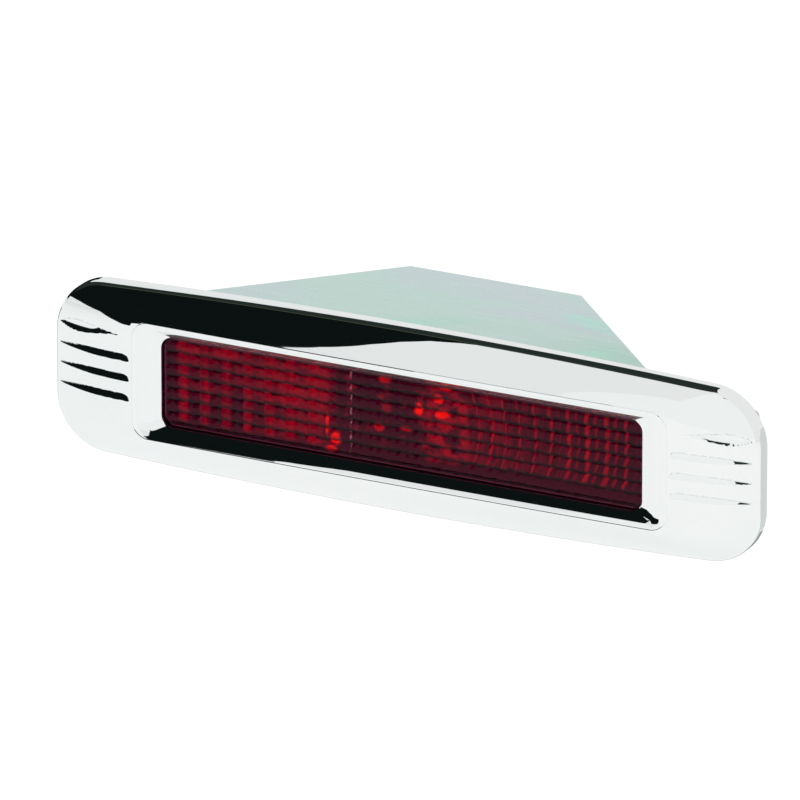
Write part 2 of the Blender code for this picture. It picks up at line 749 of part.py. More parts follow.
def make_mounting_hardware():
    washer_front = THIN_GAP + PANEL_GASKET_THICKNESS + PANEL_THICKNESS
    lock_front = washer_front + WASHER_THICKNESS + THIN_GAP
    nut_front = lock_front + LOCK_WASHER_THICKNESS + THIN_GAP
    bore = STUD_RADIUS + GAP
    for index, (x, z) in enumerate(corners(STUD_X, STUD_Z), 1):
        matrix = place(x, 0, z) @ ALONG_Y
        stud = [(0.0, STUD_BACK), (STUD_RADIUS * 0.75, STUD_BACK), (STUD_RADIUS, STUD_BACK - STUD_CHAMFER),
                (STUD_RADIUS, STUD_FRONT), (0.0, STUD_FRONT)]
        turned("mounting_stud_%d" % index, stud, STEEL, matrix, steps=SMALL_STEPS, closed=False)
        turned("flat_washer_%d" % index, ring_profile(WASHER_RADIUS, bore, washer_front,
               washer_front + WASHER_THICKNESS), ZINC, matrix, steps=SMALL_STEPS)
        lock = turned("lock_washer_%d" % index, ring_profile(LOCK_WASHER_RADIUS, bore, lock_front,
                      lock_front + LOCK_WASHER_THICKNESS), STEEL, matrix, steps=SMALL_STEPS)
        split = box("washer_split_%d" % index, (0.0, -SPLIT_HALF_WIDTH, lock_front - GAP),
                    (2 * LOCK_WASHER_RADIUS, SPLIT_HALF_WIDTH, lock_front + LOCK_WASHER_THICKNESS + GAP),
                    matrix=matrix @ Matrix.Rotation(SPLIT_TILT, 4, "X"))
        cut(lock, split)
        nut = cylinder("hex_nut_%d" % index, NUT_RADIUS, nut_front, nut_front + NUT_THICKNESS, ZINC,
                       matrix, steps=6)
        cut(nut, cylinder("nut_bore_%d" % index, bore, nut_front - GAP, nut_front + NUT_THICKNESS + GAP,
                          matrix=matrix))


# ---------------------------------------------------------------- bayonet socket

def make_socket_shell():
    shell = turned("socket_shell", ring_profile(SOCKET_OUTER_RADIUS, SOCKET_INNER_RADIUS, SOCKET_FRONT,
                   SOCKET_BACK), STEEL, ALONG_Y)
    half_slot = PIN_RADIUS + SLOT_CLEARANCE
    reach = PIN_REACH + SLOT_OVERRUN
    for base_turn, pin_y in ((0.0, PIN_A_Y), (math.pi, PIN_B_Y)):
        entry = ALONG_Y @ Matrix.Rotation(base_turn - TURN_ANGLE, 4, "Z")
        cut(shell, box("slot_entry", (SLOT_INNER, -half_slot, SOCKET_FRONT - SLOT_OVERRUN),
                       (reach, half_slot, pin_y), matrix=entry))
        sweep = ALONG_Y @ Matrix.Rotation(base_turn - TURN_ANGLE / 2, 4, "Z")
        half_sweep = SOCKET_OUTER_RADIUS * math.sin(TURN_ANGLE / 2) + half_slot + THIN_GAP
        cut(shell, box("slot_sweep", (SLOT_INNER, -half_sweep, pin_y - half_slot),
                       (reach, half_sweep, pin_y + half_slot + PUSH_TRAVEL), matrix=sweep))


def make_socket_flange():
    front = BUCKET_BACK + 2 * THIN_GAP
    outline = plain_outline(SOCKET_FLANGE_HALF_WIDTH, SOCKET_FLANGE_HALF_HEIGHT, SOCKET_FLANGE_CORNER)
    holes = [circle(SOCKET_OUTER_RADIUS + THIN_GAP, ROUND_STEPS)]
    holes.extend(circle(SOCKET_RIVET_RADIUS + GAP, x=side * SOCKET_RIVET_X) for side in SIDES)
    flat_piece("socket_flange", [outline] + holes, BUCKET_SHEET, sheet_at(front, BUCKET_SHEET), ZINC)


def make_socket_rivets():
    inner = BUCKET_BACK - SEAM_INSET - BUCKET_SHEET / 2 - THIN_GAP
    outer = BUCKET_BACK + 2 * THIN_GAP + BUCKET_SHEET + THIN_GAP
    for name, side in (("socket_rivet_left", -1), ("socket_rivet_right", 1)):
        profile = [
            (0.0, outer + SOCKET_RIVET_HEAD),
            (SOCKET_RIVET_RADIUS, outer + SOCKET_RIVET_HEAD),
            (2 * SOCKET_RIVET_RADIUS, outer),
            (SOCKET_RIVET_RADIUS, outer),
            (SOCKET_RIVET_RADIUS, inner),
            (2 * SOCKET_RIVET_RADIUS, inner),
            (1.6 * SOCKET_RIVET_RADIUS, inner - SOCKET_RIVET_HEAD),
            (0.0, inner - SOCKET_RIVET_HEAD),
        ]
        turned(name, profile, STEEL, place(side * SOCKET_RIVET_X, 0, 0) @ ALONG_Y, SMALL_STEPS, closed=False)


def pad_back_y():
    return BASE_END_BACK + THIN_GAP + PAD_HEIGHT


def plate_front_y():
    return pad_back_y() + GAP + RIVET_HEAD + THIN_GAP


def plate_back_y():
    return plate_front_y() + PLATE_THICKNESS


def cap_back_y():
    return SOCKET_BACK - CAP_INSET


def make_contact_plate():
    holes = [circle(RIVET_RADIUS + THIN_GAP, x=side * PAD_X) for side in SIDES]
    flat_piece("contact_plate", [circle(PLATE_RADIUS, ROUND_STEPS)] + holes, PLATE_THICKNESS,
               sheet_at(plate_front_y(), PLATE_THICKNESS), PHENOLIC)
    for name, side in (("contact_rivet_tail", -1), ("contact_rivet_brake", 1)):
        back = plate_back_y() + THIN_GAP
        front = plate_front_y() - THIN_GAP
        profile = [
            (0.0, back + RIVET_HEAD),
            (RIVET_HEAD_RADIUS, back + RIVET_HEAD),
            (RIVET_HEAD_RADIUS, back),
            (RIVET_RADIUS, back),
            (RIVET_RADIUS, front),
            (RIVET_HEAD_RADIUS, front),
            (RIVET_HEAD_RADIUS, front - RIVET_HEAD),
            (0.0, front - RIVET_HEAD),
        ]
        turned(name, profile, BRASS, place(side * PAD_X, 0, 0) @ ALONG_Y, SMALL_STEPS, closed=False)


def make_contact_spring():
    start = plate_back_y() + SPRING_WIRE + THIN_GAP
    end = cap_back_y() - CAP_THICKNESS - SPRING_WIRE - THIN_GAP
    count = SPRING_TURNS * SPRING_POINTS_PER_TURN
    points = []
    for i in range(count + 1):
        turn = 2 * math.pi * i / SPRING_POINTS_PER_TURN
        height = mix(start, end, i / count)
        points.append((SPRING_RADIUS * math.cos(turn), SPRING_RADIUS * math.sin(turn), height))
    wire("contact_spring", points, SPRING_WIRE, STEEL, ALONG_Y)


def make_socket_cap():
    holes = [circle(WIRE_HOLE_RADIUS, x=side * PAD_X) for side in SIDES]
    flat_piece("socket_rear_cap", [circle(SOCKET_INNER_RADIUS - THIN_GAP, ROUND_STEPS)] + holes,
               CAP_THICKNESS, sheet_at(cap_back_y() - CAP_THICKNESS, CAP_THICKNESS), PHENOLIC)


# ---------------------------------------------------------------- bulb

def globe_profile(radius, wall_inset):
    """The globe's outline from its tip to the neck, as (radius, y) points."""
    neck = NECK_RADIUS - wall_inset
    last = math.pi - math.asin(neck / radius)
    points = []
    for i in range(GLOBE_STEPS + 1):
        turn = last * i / GLOBE_STEPS
        points.append((radius * math.sin(turn), GLOBE_CENTRE_Y - radius * math.cos(turn)))
    return points


def make_bulb_glass():
    outside = globe_profile(GLOBE_RADIUS, 0.0) + [(NECK_RADIUS, NECK_BACK)]
    inside = globe_profile(GLOBE_RADIUS - GLASS_WALL, GLASS_WALL) + [(NECK_RADIUS - GLASS_WALL, NECK_BACK)]
    profile = inside + outside[::-1]
    turned("bulb_glass", profile, CLEAR_GLASS, ALONG_Y, GLASS_STEPS, closed=False)


def make_bulb_stem():
    profile = [
        (0.0, STEM_BACK),
        (STEM_RADIUS, STEM_BACK),
        (STEM_RADIUS, STEM_FRONT + STEM_RADIUS),
        (STEM_RADIUS * 0.6, STEM_FRONT + STEM_RADIUS * 0.2),
        (0.0, STEM_FRONT),
    ]
    turned("bulb_stem", profile, CLEAR_GLASS, ALONG_Y, SMALL_STEPS, closed=False)


def make_filaments():
    """Each filament: two support wires that rise beside the stem and a fine coil between them."""
    for name, front, half_span, z in (
        ("tail_filament", TAIL_FILAMENT_FRONT, TAIL_FILAMENT_HALF_SPAN, FILAMENT_OFFSET),
        ("brake_filament", BRAKE_FILAMENT_FRONT, BRAKE_FILAMENT_HALF_SPAN, -FILAMENT_OFFSET),
    ):
        points = [(-half_span, FILAMENT_FOOT, z), (-half_span, front, z)]
        for i in range(1, FILAMENT_FOLDS):
            x = mix(-half_span, half_span, i / FILAMENT_FOLDS)
            points.append((x, front - FILAMENT_FOLD_DEPTH * (i % 2), z))
        points.extend([(half_span, front, z), (half_span, FILAMENT_FOOT, z)])
        wire(name, points, FILAMENT_WIRE, TUNGSTEN)


def make_bulb_base():
    base = turned("bulb_base", ring_profile(BASE_RADIUS, BASE_RADIUS - BASE_WALL, BASE_FRONT, BASE_BACK),
                  BRASS, ALONG_Y)
    for turn, pin_y in ((0.0, PIN_A_Y), (math.pi, PIN_B_Y)):
        pin_matrix = place(0, pin_y, 0) @ Matrix.Rotation(math.pi / 2 - turn, 4, "Y")
        join(base, cylinder("bayonet_pin", PIN_RADIUS, BASE_RADIUS - BASE_WALL / 2, PIN_REACH,
                            matrix=pin_matrix, steps=PIN_STEPS))


def make_bulb_end():
    plug = BASE_RADIUS - BASE_WALL - THIN_GAP
    profile = [(0.0, BASE_END_BACK), (plug * 0.85, BASE_END_BACK), (plug, BASE_BACK), (plug, BASE_END_FRONT),
               (0.0, BASE_END_FRONT)]
    turned("bulb_base_insulator", profile, BLACK_GLASS, ALONG_Y, closed=False)
    for name, side in (("solder_pad_tail", -1), ("solder_pad_brake", 1)):
        front = BASE_END_BACK + THIN_GAP
        back = pad_back_y()
        pad = [(0.0, back), (PAD_RADIUS * 0.6, back), (PAD_RADIUS, front), (0.0, front)]
        turned(name, pad, SOLDER, place(side * PAD_X, 0, 0) @ ALONG_Y, SMALL_STEPS, closed=False)


def make_all():
    make_bezel()
    make_lens()
    make_lens_gasket()
    make_lens_retainer()
    make_panel_gasket()
    make_bucket_plates()
    make_bucket_wrap()
    make_bucket_screws()
    make_mounting_hardware()
    make_socket_shell()
    make_socket_flange()
    make_socket_rivets()
    make_contact_plate()
    make_contact_spring()
    make_socket_cap()
    make_bulb_glass()
    make_bulb_stem()
    make_filaments()
    make_bulb_base()
    make_bulb_end()


clear_scene()
parts = new_collection("tail_light")
cutters = new_collection("cutters")
make_all()
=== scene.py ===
"""The looks of the tail light: fine surfaces, materials, studio and camera round the CAD frame."""
import json
import math

import bmesh
import bpy
from mathutils import Matrix, Vector


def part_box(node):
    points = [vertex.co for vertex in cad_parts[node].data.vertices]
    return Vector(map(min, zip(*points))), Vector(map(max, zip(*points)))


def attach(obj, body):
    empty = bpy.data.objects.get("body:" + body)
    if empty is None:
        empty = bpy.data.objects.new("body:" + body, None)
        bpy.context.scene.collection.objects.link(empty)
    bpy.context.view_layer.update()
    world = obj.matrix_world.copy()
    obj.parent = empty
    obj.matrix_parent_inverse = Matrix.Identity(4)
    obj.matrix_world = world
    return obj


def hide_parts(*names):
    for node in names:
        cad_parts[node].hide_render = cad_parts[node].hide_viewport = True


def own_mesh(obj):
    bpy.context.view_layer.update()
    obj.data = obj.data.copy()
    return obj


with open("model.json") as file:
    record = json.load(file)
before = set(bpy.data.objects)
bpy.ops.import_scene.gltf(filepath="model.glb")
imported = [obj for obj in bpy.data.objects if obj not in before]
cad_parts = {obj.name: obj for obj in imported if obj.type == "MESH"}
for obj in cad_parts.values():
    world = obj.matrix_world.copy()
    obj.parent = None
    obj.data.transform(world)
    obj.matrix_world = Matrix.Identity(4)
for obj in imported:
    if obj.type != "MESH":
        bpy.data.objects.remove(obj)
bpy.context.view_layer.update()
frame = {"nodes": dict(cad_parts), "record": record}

BEZEL_LOW, BEZEL_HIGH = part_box("bezel")
LENS_LOW, LENS_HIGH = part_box("lens")


def mix(a, b, share):
    return a + (b - a) * share


def clamp(value, low=0.0, high=1.0):
    return max(low, min(high, value))


# ---------------------------------------------------------------- node helpers for materials

class Shader:
    """A material under construction, with short names for the nodes that it uses."""

    def __init__(self, name):
        self.material = bpy.data.materials.new(name)
        self.material.use_nodes = True
        self.tree = self.material.node_tree
        self.tree.nodes.clear()
        self.output = self.tree.nodes.new("ShaderNodeOutputMaterial")
        self.bsdf = self.tree.nodes.new("ShaderNodeBsdfPrincipled")
        self.link(self.bsdf.outputs["BSDF"], self.output.inputs["Surface"])
        self.place = self.tree.nodes.new("ShaderNodeTexCoord").outputs["Object"]

    def link(self, source, target):
        self.tree.links.new(source, target)

    def set(self, **values):
        """Constant values, given by socket name with underscores for spaces."""
        for name, value in values.items():
            self.bsdf.inputs[name.replace("_", " ")].default_value = value

    def put(self, name, source):
        self.link(source, self.bsdf.inputs[name])

    def scaled(self, scale):
        """The object's coordinates, stretched by a factor on each axis."""
        node = self.tree.nodes.new("ShaderNodeMapping")
        node.inputs["Scale"].default_value = scale
        self.link(self.place, node.inputs["Vector"])
        return node.outputs["Vector"]

    def noise(self, scale, detail=3.0, stretch=None, distortion=0.0):
        node = self.tree.nodes.new("ShaderNodeTexNoise")
        node.inputs["Scale"].default_value = scale
        node.inputs["Detail"].default_value = detail
        node.inputs["Distortion"].default_value = distortion
        self.link(self.scaled(stretch) if stretch else self.place, node.inputs["Vector"])
        return node.outputs["Fac"]

    def ramp(self, source, *stops):
        """A colour ramp; each stop is (position, colour), and a grey is a single number."""
        node = self.tree.nodes.new("ShaderNodeValToRGB")
        elements = node.color_ramp.elements
        while len(elements) < len(stops):
            elements.new(0.5)
        for element, (position, colour) in zip(elements, stops):
            element.position = position
            shade = (colour, colour, colour) if isinstance(colour, (int, float)) else colour
            element.color = (*shade, 1.0)
        self.link(source, node.inputs["Fac"])
        return node.outputs["Color"]

    def math(self, operation, first, second=None):
        """The result of an operation on one or two sockets or numbers."""
        node = self.tree.nodes.new("ShaderNodeMath")
        node.operation = operation
        for slot, value in enumerate((first, second)):
            if value is None:
                continue
            if isinstance(value, (int, float)):
                node.inputs[slot].default_value = value
            else:
                self.link(value, node.inputs[slot])
        return node.outputs["Value"]

    def plus(self, first, second):
        return self.math("ADD", first, second)

    def minus(self, first, second):
        return self.math("SUBTRACT", first, second)

    def times(self, first, second):
        return self.math("MULTIPLY", first, second)

    def over(self, first, second):
        return self.math("DIVIDE", first, second)

    def most(self, first, second):
        return self.math("MAXIMUM", first, second)

    def sway(self, source, size):
        """A value from 0 to 1 turned into one that swings about zero."""
        return self.times(self.minus(source, 0.5), size)

    def fade(self, source, start, end):
        """A smooth step: 0 at the start value and 1 at the end value, in either order."""
        node = self.tree.nodes.new("ShaderNodeMapRange")
        node.interpolation_type = "SMOOTHSTEP"
        node.clamp = True
        low, high = min(start, end), max(start, end)
        node.inputs["From Min"].default_value = low
        node.inputs["From Max"].default_value = high
        node.inputs["To Min"].default_value = 0.0 if start < end else 1.0
        node.inputs["To Max"].default_value = 1.0 if start < end else 0.0
        self.link(source, node.inputs["Value"])
        return node.outputs["Result"]

    def both(self, *masks):
        """The product of masks."""
        result = masks[0]
        for mask in masks[1:]:
            result = self.times(result, mask)
        return result

    def blend(self, mask, under, over):
        """One colour over another; each is a colour socket or a tuple."""
        node = self.tree.nodes.new("ShaderNodeMixRGB")
        self.link(mask, node.inputs["Fac"])
        for slot, colour in (("Color1", under), ("Color2", over)):
            if isinstance(colour, tuple):
                node.inputs[slot].default_value = (*colour, 1.0)
            else:
                self.link(colour, node.inputs[slot])
        return node.outputs["Color"]

    def cell_noise(self, first, second):
        """A random value for each pair of whole numbers."""
        vector = self.tree.nodes.new("ShaderNodeCombineXYZ")
        self.link(first, vector.inputs["X"])
        self.link(second, vector.inputs["Y"])
        node = self.tree.nodes.new("ShaderNodeTexWhiteNoise")
        self.link(vector.outputs["Vector"], node.inputs["Vector"])
        return node.outputs["Value"]

    def bump(self, height, distance, strength):
        node = self.tree.nodes.new("ShaderNodeBump")
        node.inputs["Distance"].default_value = distance
        node.inputs["Strength"].default_value = strength
        self.link(height, node.inputs["Height"])
        return node.outputs["Normal"]


# ---------------------------------------------------------------- materials

def chrome_material():
    """Bright plating: almost a mirror, with faint polishing haze and a very slight ripple."""
    shader = Shader("chrome")
    shader.set(Metallic=1.0)
    tint = shader.ramp(shader.noise(14.0, 2.0), (0.3, (0.80, 0.835, 0.83)), (0.7, (0.84, 0.86, 0.855)))
    shader.put("Base Color", tint)
    haze = shader.noise(900.0, 4.0, stretch=(0.15, 1.0, 1.0))
    shader.put("Roughness", shader.ramp(haze, (0.35, 0.012), (0.75, 0.030)))
    shader.put("Normal", shader.bump(shader.noise(35.0, 1.0), 0.00001, 0.25))
    return shader.material


def zinc_material():
    """Zinc plating with a clear chromate film: pale grey-green with faint oil-film colours."""
    shader = Shader("zinc")
    shader.set(Metallic=1.0)
    film = shader.noise(15.0, 2.5, stretch=(0.8, 1.6, 1.0), distortion=0.9)
    colour = shader.ramp(
        film,
        (0.30, (0.44, 0.78, 0.62)),
        (0.40, (0.49, 0.70, 0.63)),
        (0.50, (0.54, 0.70, 0.65)),
        (0.58, (0.55, 0.68, 0.665)),
        (0.64, (0.57, 0.66, 0.675)),
        (0.72, (0.47, 0.74, 0.665)),
    )
    shader.put("Base Color", colour)
    grain = shader.noise(1400.0, 3.0, stretch=(0.04, 1.0, 1.0))
    shader.put("Roughness", shader.ramp(grain, (0.3, 0.26), (0.8, 0.36)))
    shader.put("Normal", shader.bump(grain, 0.000006, 0.4))
    return shader.material


# The lens's optics in millimetres: ribs along X, broad straight flutes on the left, and fine curved
# flutes on the right.
MM_PER_METRE = 1000.0
RIB_MM = 4.1
LEFT_FLUTE_MM = 7.84
LEFT_FLUTE_EDGE_MM = 81.2
RIGHT_FLUTE_EDGE_MM = 27.0
RIGHT_FLUTE_COUNT = 17.5
RIGHT_FLUTE_GROWTH = 0.01295
LEAST_GROWTH = 0.3
LENS_EDGE_MM = (85.4, 14.5)
# The lens's colours: dark, crimson, red and hot are steps from no painted light to the most, shade is
# painted shade in the rib valleys, rim is a painted sheen on the rounded rim, and seam is a painted
# highlight line.
LENS_DARK = (0.042, 0.0006, 0.0085)
LENS_CRIMSON = (0.170, 0.0003, 0.0105)
LENS_RED = (0.320, 0.0005, 0.0085)
LENS_HOT = (0.980, 0.0040, 0.0020)
LENS_SHADE = (0.008, 0.0004, 0.0025)
LENS_RIM_SHEEN = (0.085, 0.012, 0.030)
SEAM_HIGHLIGHT_COLOUR = (0.30, 0.10, 0.14)
SEAM_HIGHLIGHT_LEFT_MM = (-19.0, -18.5)
SEAM_HIGHLIGHT_RIGHT_MM = (-17.8, -18.3)

# Where the lens's light begins and ends, in millimetres: none at a pair's first value, all of it at
# its second.
LEFT_GLOW_INNER_MM = (-22.0, -29.0)
LEFT_GLOW_OUTER_MM = (-83.0, -80.5)
LEFT_GLOW_FOOT_MM = (-13.6, -11.8)
RIGHT_GLOW_INNER_MM = (22.0, 27.0)
RIGHT_GLOW_FOOT_MM = (-10.8, -9.4)
HAZE_MM = (78.0, 30.0)
BRIGHT_LEFT_MM = (2.0, 12.0)
BRIGHT_RIGHT_MM = (29.0, 21.0)
BRIGHT_FOOT_MM = (-14.0, -8.0)
FAINT_LEFT_MM = (-29.0, -21.0)
FAINT_RIGHT_MM = (13.0, 4.0)
FAINT_FOOT_MM = (-12.0, -2.0)
SCALLOPS_MM = (-20.0, -26.0)
RIM_SHEEN_MM = (-0.1, 0.35)

# Offsets that keep indices positive, and seeds for the random values of columns.
LEFT_FLUTE_OFFSET = 20
RIGHT_FLUTE_OFFSET = 20.0
RIB_OFFSET = 100.5
LEFT_COLUMN_SEED = 7.5
RIGHT_COLUMN_SEED = 3.5

# Painted light where the bulb's parts shine through the lens: centre x, z and half size x, z, in mm,
# and strength.
GLOW_SPOTS = (
    (-24.0, -9.3, 2.3, 2.6, 1.0),
    (-25.4, -13.2, 2.3, 1.5, 0.95),
    (-27.0, -4.4, 0.8, 5.2, 0.85),
    (-6.2, 13.9, 2.4, 1.6, 0.75),
    (-8.3, -2.9, 2.0, 1.5, 0.70),
    (1.2, -1.9, 2.6, 0.9, 0.75),
    (6.2, 5.6, 2.0, 2.5, 1.0),
    (13.0, 10.2, 2.3, 2.0, 0.90),
    (14.4, 5.2, 3.1, 2.4, 0.95),
    (15.3, 14.2, 2.8, 1.3, 0.75),
    (22.0, 7.2, 2.0, 3.8, 0.62),
)
SPOT_EDGE = (2.1, 0.9)
SPOT_RAGGEDNESS = 1.3


def lens_axes(shader):
    """X, Z and the reach from the lens's centre, in millimetres."""
    split = shader.tree.nodes.new("ShaderNodeSeparateXYZ")
    shader.link(shader.scaled((MM_PER_METRE, MM_PER_METRE, MM_PER_METRE)), split.inputs["Vector"])
    x, z = split.outputs["X"], split.outputs["Z"]
    reach = shader.math("SQRT", shader.plus(shader.both(x, x), shader.both(z, z)))
    return x, z, reach


def lens_spots(shader, x, z):
    """A mask of the glowing spots, with uneven edges."""
    ragged = shader.times(shader.noise(420.0, 2.0), SPOT_RAGGEDNESS)
    total = None
    for spot_x, spot_z, half_x, half_z, strength in GLOW_SPOTS:
        across = shader.over(shader.minus(x, spot_x), half_x)
        along = shader.over(shader.minus(z, spot_z), half_z)
        distance = shader.plus(shader.both(across, across), shader.both(along, along))
        spot = shader.fade(shader.plus(distance, ragged), *SPOT_EDGE)
        spot = shader.times(spot, strength)
        total = spot if total is None else shader.most(total, spot)
    return total


def left_glow(shader, x, z, rib_index):
    """Light in the broad flutes of the lens's left half, and the share across each flute."""
    wobble = shader.sway(shader.noise(190.0, 2.0), 0.30)
    shifted = shader.plus(x, LEFT_FLUTE_EDGE_MM + LEFT_FLUTE_OFFSET * LEFT_FLUTE_MM)
    flute = shader.over(shifted, LEFT_FLUTE_MM)
    share = shader.math("FRACT", flute)
    uneven = shader.plus(share, wobble)
    cell = shader.cell_noise(shader.math("FLOOR", flute), rib_index)
    column = shader.cell_noise(shader.math("FLOOR", flute), shader.math("FLOOR", LEFT_COLUMN_SEED))
    bar = shader.both(shader.fade(uneven, -0.10, 0.06), shader.fade(uneven, 0.60, 0.34))
    bar = shader.both(bar, shader.plus(shader.times(column, 0.14), 0.30))
    core = shader.both(shader.fade(uneven, 0.12, 0.26), shader.fade(uneven, 0.46, 0.34))
    bar = shader.plus(bar, shader.both(core, shader.times(cell, 0.24)))
    slope = shader.plus(shader.times(z, 0.034), shader.times(x, 0.014))
    fill = shader.plus(shader.plus(slope, 1.30), shader.times(column, 0.30))
    fill = shader.plus(fill, shader.sway(cell, 0.45))
    fill = shader.times(shader.fade(fill, 0.15, 0.95), 0.42)
    fill = shader.both(fill, shader.plus(shader.fade(shader.noise(230.0, 2.0), 0.25, 0.60), 0.25))
    streak = shader.noise(700.0, 2.0, stretch=(1.0, 1.0, 0.10))
    streak = shader.sway(streak, 0.26)
    total = shader.plus(shader.most(bar, fill), streak)
    within = shader.both(shader.fade(x, *LEFT_GLOW_INNER_MM), shader.fade(x, *LEFT_GLOW_OUTER_MM))
    return shader.both(total, within, shader.fade(z, *LEFT_GLOW_FOOT_MM)), share


def right_glow(shader, x, z, reach, rib_share, rib_index):
    """Thin curved lines of light in the fine flutes of the lens's right half."""
    leaned = shader.minus(reach, shader.times(z, 0.05))
    grown = shader.times(shader.minus(leaned, RIGHT_FLUTE_EDGE_MM), RIGHT_FLUTE_GROWTH)
    log = shader.math("LOGARITHM", shader.most(shader.plus(grown, 1.0), LEAST_GROWTH), math.e)
    flute = shader.plus(shader.times(log, RIGHT_FLUTE_COUNT), RIGHT_FLUTE_OFFSET)
    flute = shader.minus(flute, shader.times(rib_share, 0.13))
    wobble = shader.sway(shader.noise(160.0, 2.0), 0.30)
    share = shader.math("FRACT", shader.plus(flute, wobble))
    index = shader.math("FLOOR", flute)
    cell = shader.cell_noise(index, rib_index)
    column = shader.cell_noise(index, shader.math("FLOOR", RIGHT_COLUMN_SEED))
    width = shader.plus(shader.times(column, 0.16), 0.10)
    past = shader.minus(share, width)
    line = shader.both(shader.fade(share, 0.0, 0.10), shader.fade(past, 0.12, 0.0))
    line = shader.both(line, shader.plus(shader.times(cell, 0.22), 0.44))
    fine = shader.both(shader.fade(share, 0.52, 0.60), shader.fade(share, 0.74, 0.66))
    fine = shader.both(fine, shader.times(column, 0.42))
    streaks = shader.noise(500.0, 2.0, stretch=(1.0, 1.0, 0.15))
    haze = shader.times(shader.fade(x, *HAZE_MM), 0.26)
    haze = shader.both(haze, shader.fade(streaks, 0.30, 0.65))
    total = shader.most(shader.most(line, fine), haze)
    above_foot = shader.fade(z, *RIGHT_GLOW_FOOT_MM)
    return shader.both(total, shader.fade(x, *RIGHT_GLOW_INNER_MM), above_foot)


def middle_glow(shader, x, z):
    """Patches of light in front of the bulb."""
    patches = shader.fade(shader.noise(210.0, 3.0, stretch=(0.8, 1.0, 1.0)), 0.40, 0.62)
    bright = shader.both(patches, shader.fade(x, *BRIGHT_LEFT_MM), shader.fade(x, *BRIGHT_RIGHT_MM))
    bright = shader.both(bright, shader.fade(z, *BRIGHT_FOOT_MM))
    faint = shader.fade(shader.noise(240.0, 3.0), 0.54, 0.72)
    faint = shader.both(faint, shader.fade(x, *FAINT_LEFT_MM), shader.fade(x, *FAINT_RIGHT_MM))
    faint = shader.both(faint, shader.fade(z, *FAINT_FOOT_MM))
    return shader.most(shader.times(bright, 0.58), shader.times(faint, 0.42))


def lens_material():
    """Deep red moulded plastic; the light and dark bars that its ribs and flutes make are painted light
    and shade in its colour.
    """
    shader = Shader("red_lens")
    x, z, reach = lens_axes(shader)
    rib = shader.plus(shader.over(z, RIB_MM), RIB_OFFSET)
    rib_share = shader.math("FRACT", rib)
    rib_index = shader.math("FLOOR", rib)

    left, left_share = left_glow(shader, x, z, rib_index)
    right = right_glow(shader, x, z, reach, rib_share, rib_index)
    glow = shader.most(shader.most(left, right), middle_glow(shader, x, z))
    glow = shader.most(glow, lens_spots(shader, x, z))

    # Painted shade along the ribs: a dark line in each rib's valley, less dark where more light is
    # painted, and the painted light dimmed by up to a quarter on the side of each rib next to its
    # valley.
    scallop = shader.both(shader.sway(left_share, 0.16), shader.fade(x, *SCALLOPS_MM))
    wobble = shader.sway(shader.noise(290.0, 2.0), 0.46)
    groove = shader.math("FRACT", shader.plus(rib, shader.plus(scallop, wobble)))
    valley_shade = shader.most(shader.fade(groove, 0.33, 0.07), shader.fade(groove, 0.84, 0.97))
    slope = shader.fade(groove, 0.75, 0.10)
    glow = shader.both(glow, shader.minus(1.0, shader.times(slope, 0.25)))
    colour = shader.ramp(
        glow,
        (0.0, LENS_DARK),
        (0.36, LENS_CRIMSON),
        (0.66, LENS_RED),
        (1.0, LENS_HOT),
    )
    deep = shader.times(valley_shade, shader.minus(0.92, shader.times(glow, 0.35)))
    colour = shader.blend(deep, colour, LENS_SHADE)

    # A painted highlight: a pale dotted line down the lens, left of its middle, one dash on each rib.
    seam_highlight = shader.both(shader.fade(x, *SEAM_HIGHLIGHT_LEFT_MM), shader.fade(x, *SEAM_HIGHLIGHT_RIGHT_MM))
    seam_highlight = shader.both(seam_highlight, shader.fade(groove, 0.2, 0.5))
    seam_highlight = shader.both(seam_highlight, shader.fade(shader.noise(900.0, 2.0), 0.40, 0.60))
    colour = shader.blend(shader.times(seam_highlight, 0.8), colour, SEAM_HIGHLIGHT_COLOUR)

    # A painted sheen: a lighter purple line round the lens's rounded rim.
    past_end = shader.minus(shader.math("ABSOLUTE", x), LENS_EDGE_MM[0])
    past_top = shader.minus(shader.math("ABSOLUTE", z), LENS_EDGE_MM[1])
    rim = shader.fade(shader.most(past_end, past_top), *RIM_SHEEN_MM)
    colour = shader.blend(rim, colour, LENS_RIM_SHEEN)

    shader.put("Base Color", colour)
    shader.set(IOR=1.49, Specular_IOR_Level=0.10)
    haze = shader.noise(1500.0, 3.0)
    shader.put("Roughness", shader.ramp(haze, (0.35, 0.08), (0.75, 0.18)))
    shader.put("Normal", shader.bump(shader.noise(520.0, 2.0), 0.00010, 0.30))
    return shader.material


STAIN = 0.82


def metal_material(name, colour, low, high):
    """Bare metal with faint stains; its roughness varies between low and high."""
    shader = Shader(name)
    shader.set(Metallic=1.0)
    stain = shader.noise(120.0, 3.0)
    stained = tuple(channel * STAIN for channel in colour)
    shader.put("Base Color", shader.ramp(stain, (0.35, stained), (0.65, colour)))
    grain = shader.noise(2200.0, 3.0)
    shader.put("Roughness", shader.ramp(grain, (0.3, low), (0.8, high)))
    shader.put("Normal", shader.bump(grain, 0.00001, 0.4))
    return shader.material


def rubber_material():
    shader = Shader("rubber")
    shader.set(Specular_IOR_Level=0.35)
    bloom = shader.noise(80.0, 4.0)
    shader.put("Base Color", shader.ramp(bloom, (0.35, 0.012), (0.75, 0.035)))
    grain = shader.noise(3000.0, 3.0)
    shader.put("Roughness", shader.ramp(grain, (0.3, 0.62), (0.8, 0.85)))
    shader.put("Normal", shader.bump(grain, 0.00004, 0.6))
    return shader.material


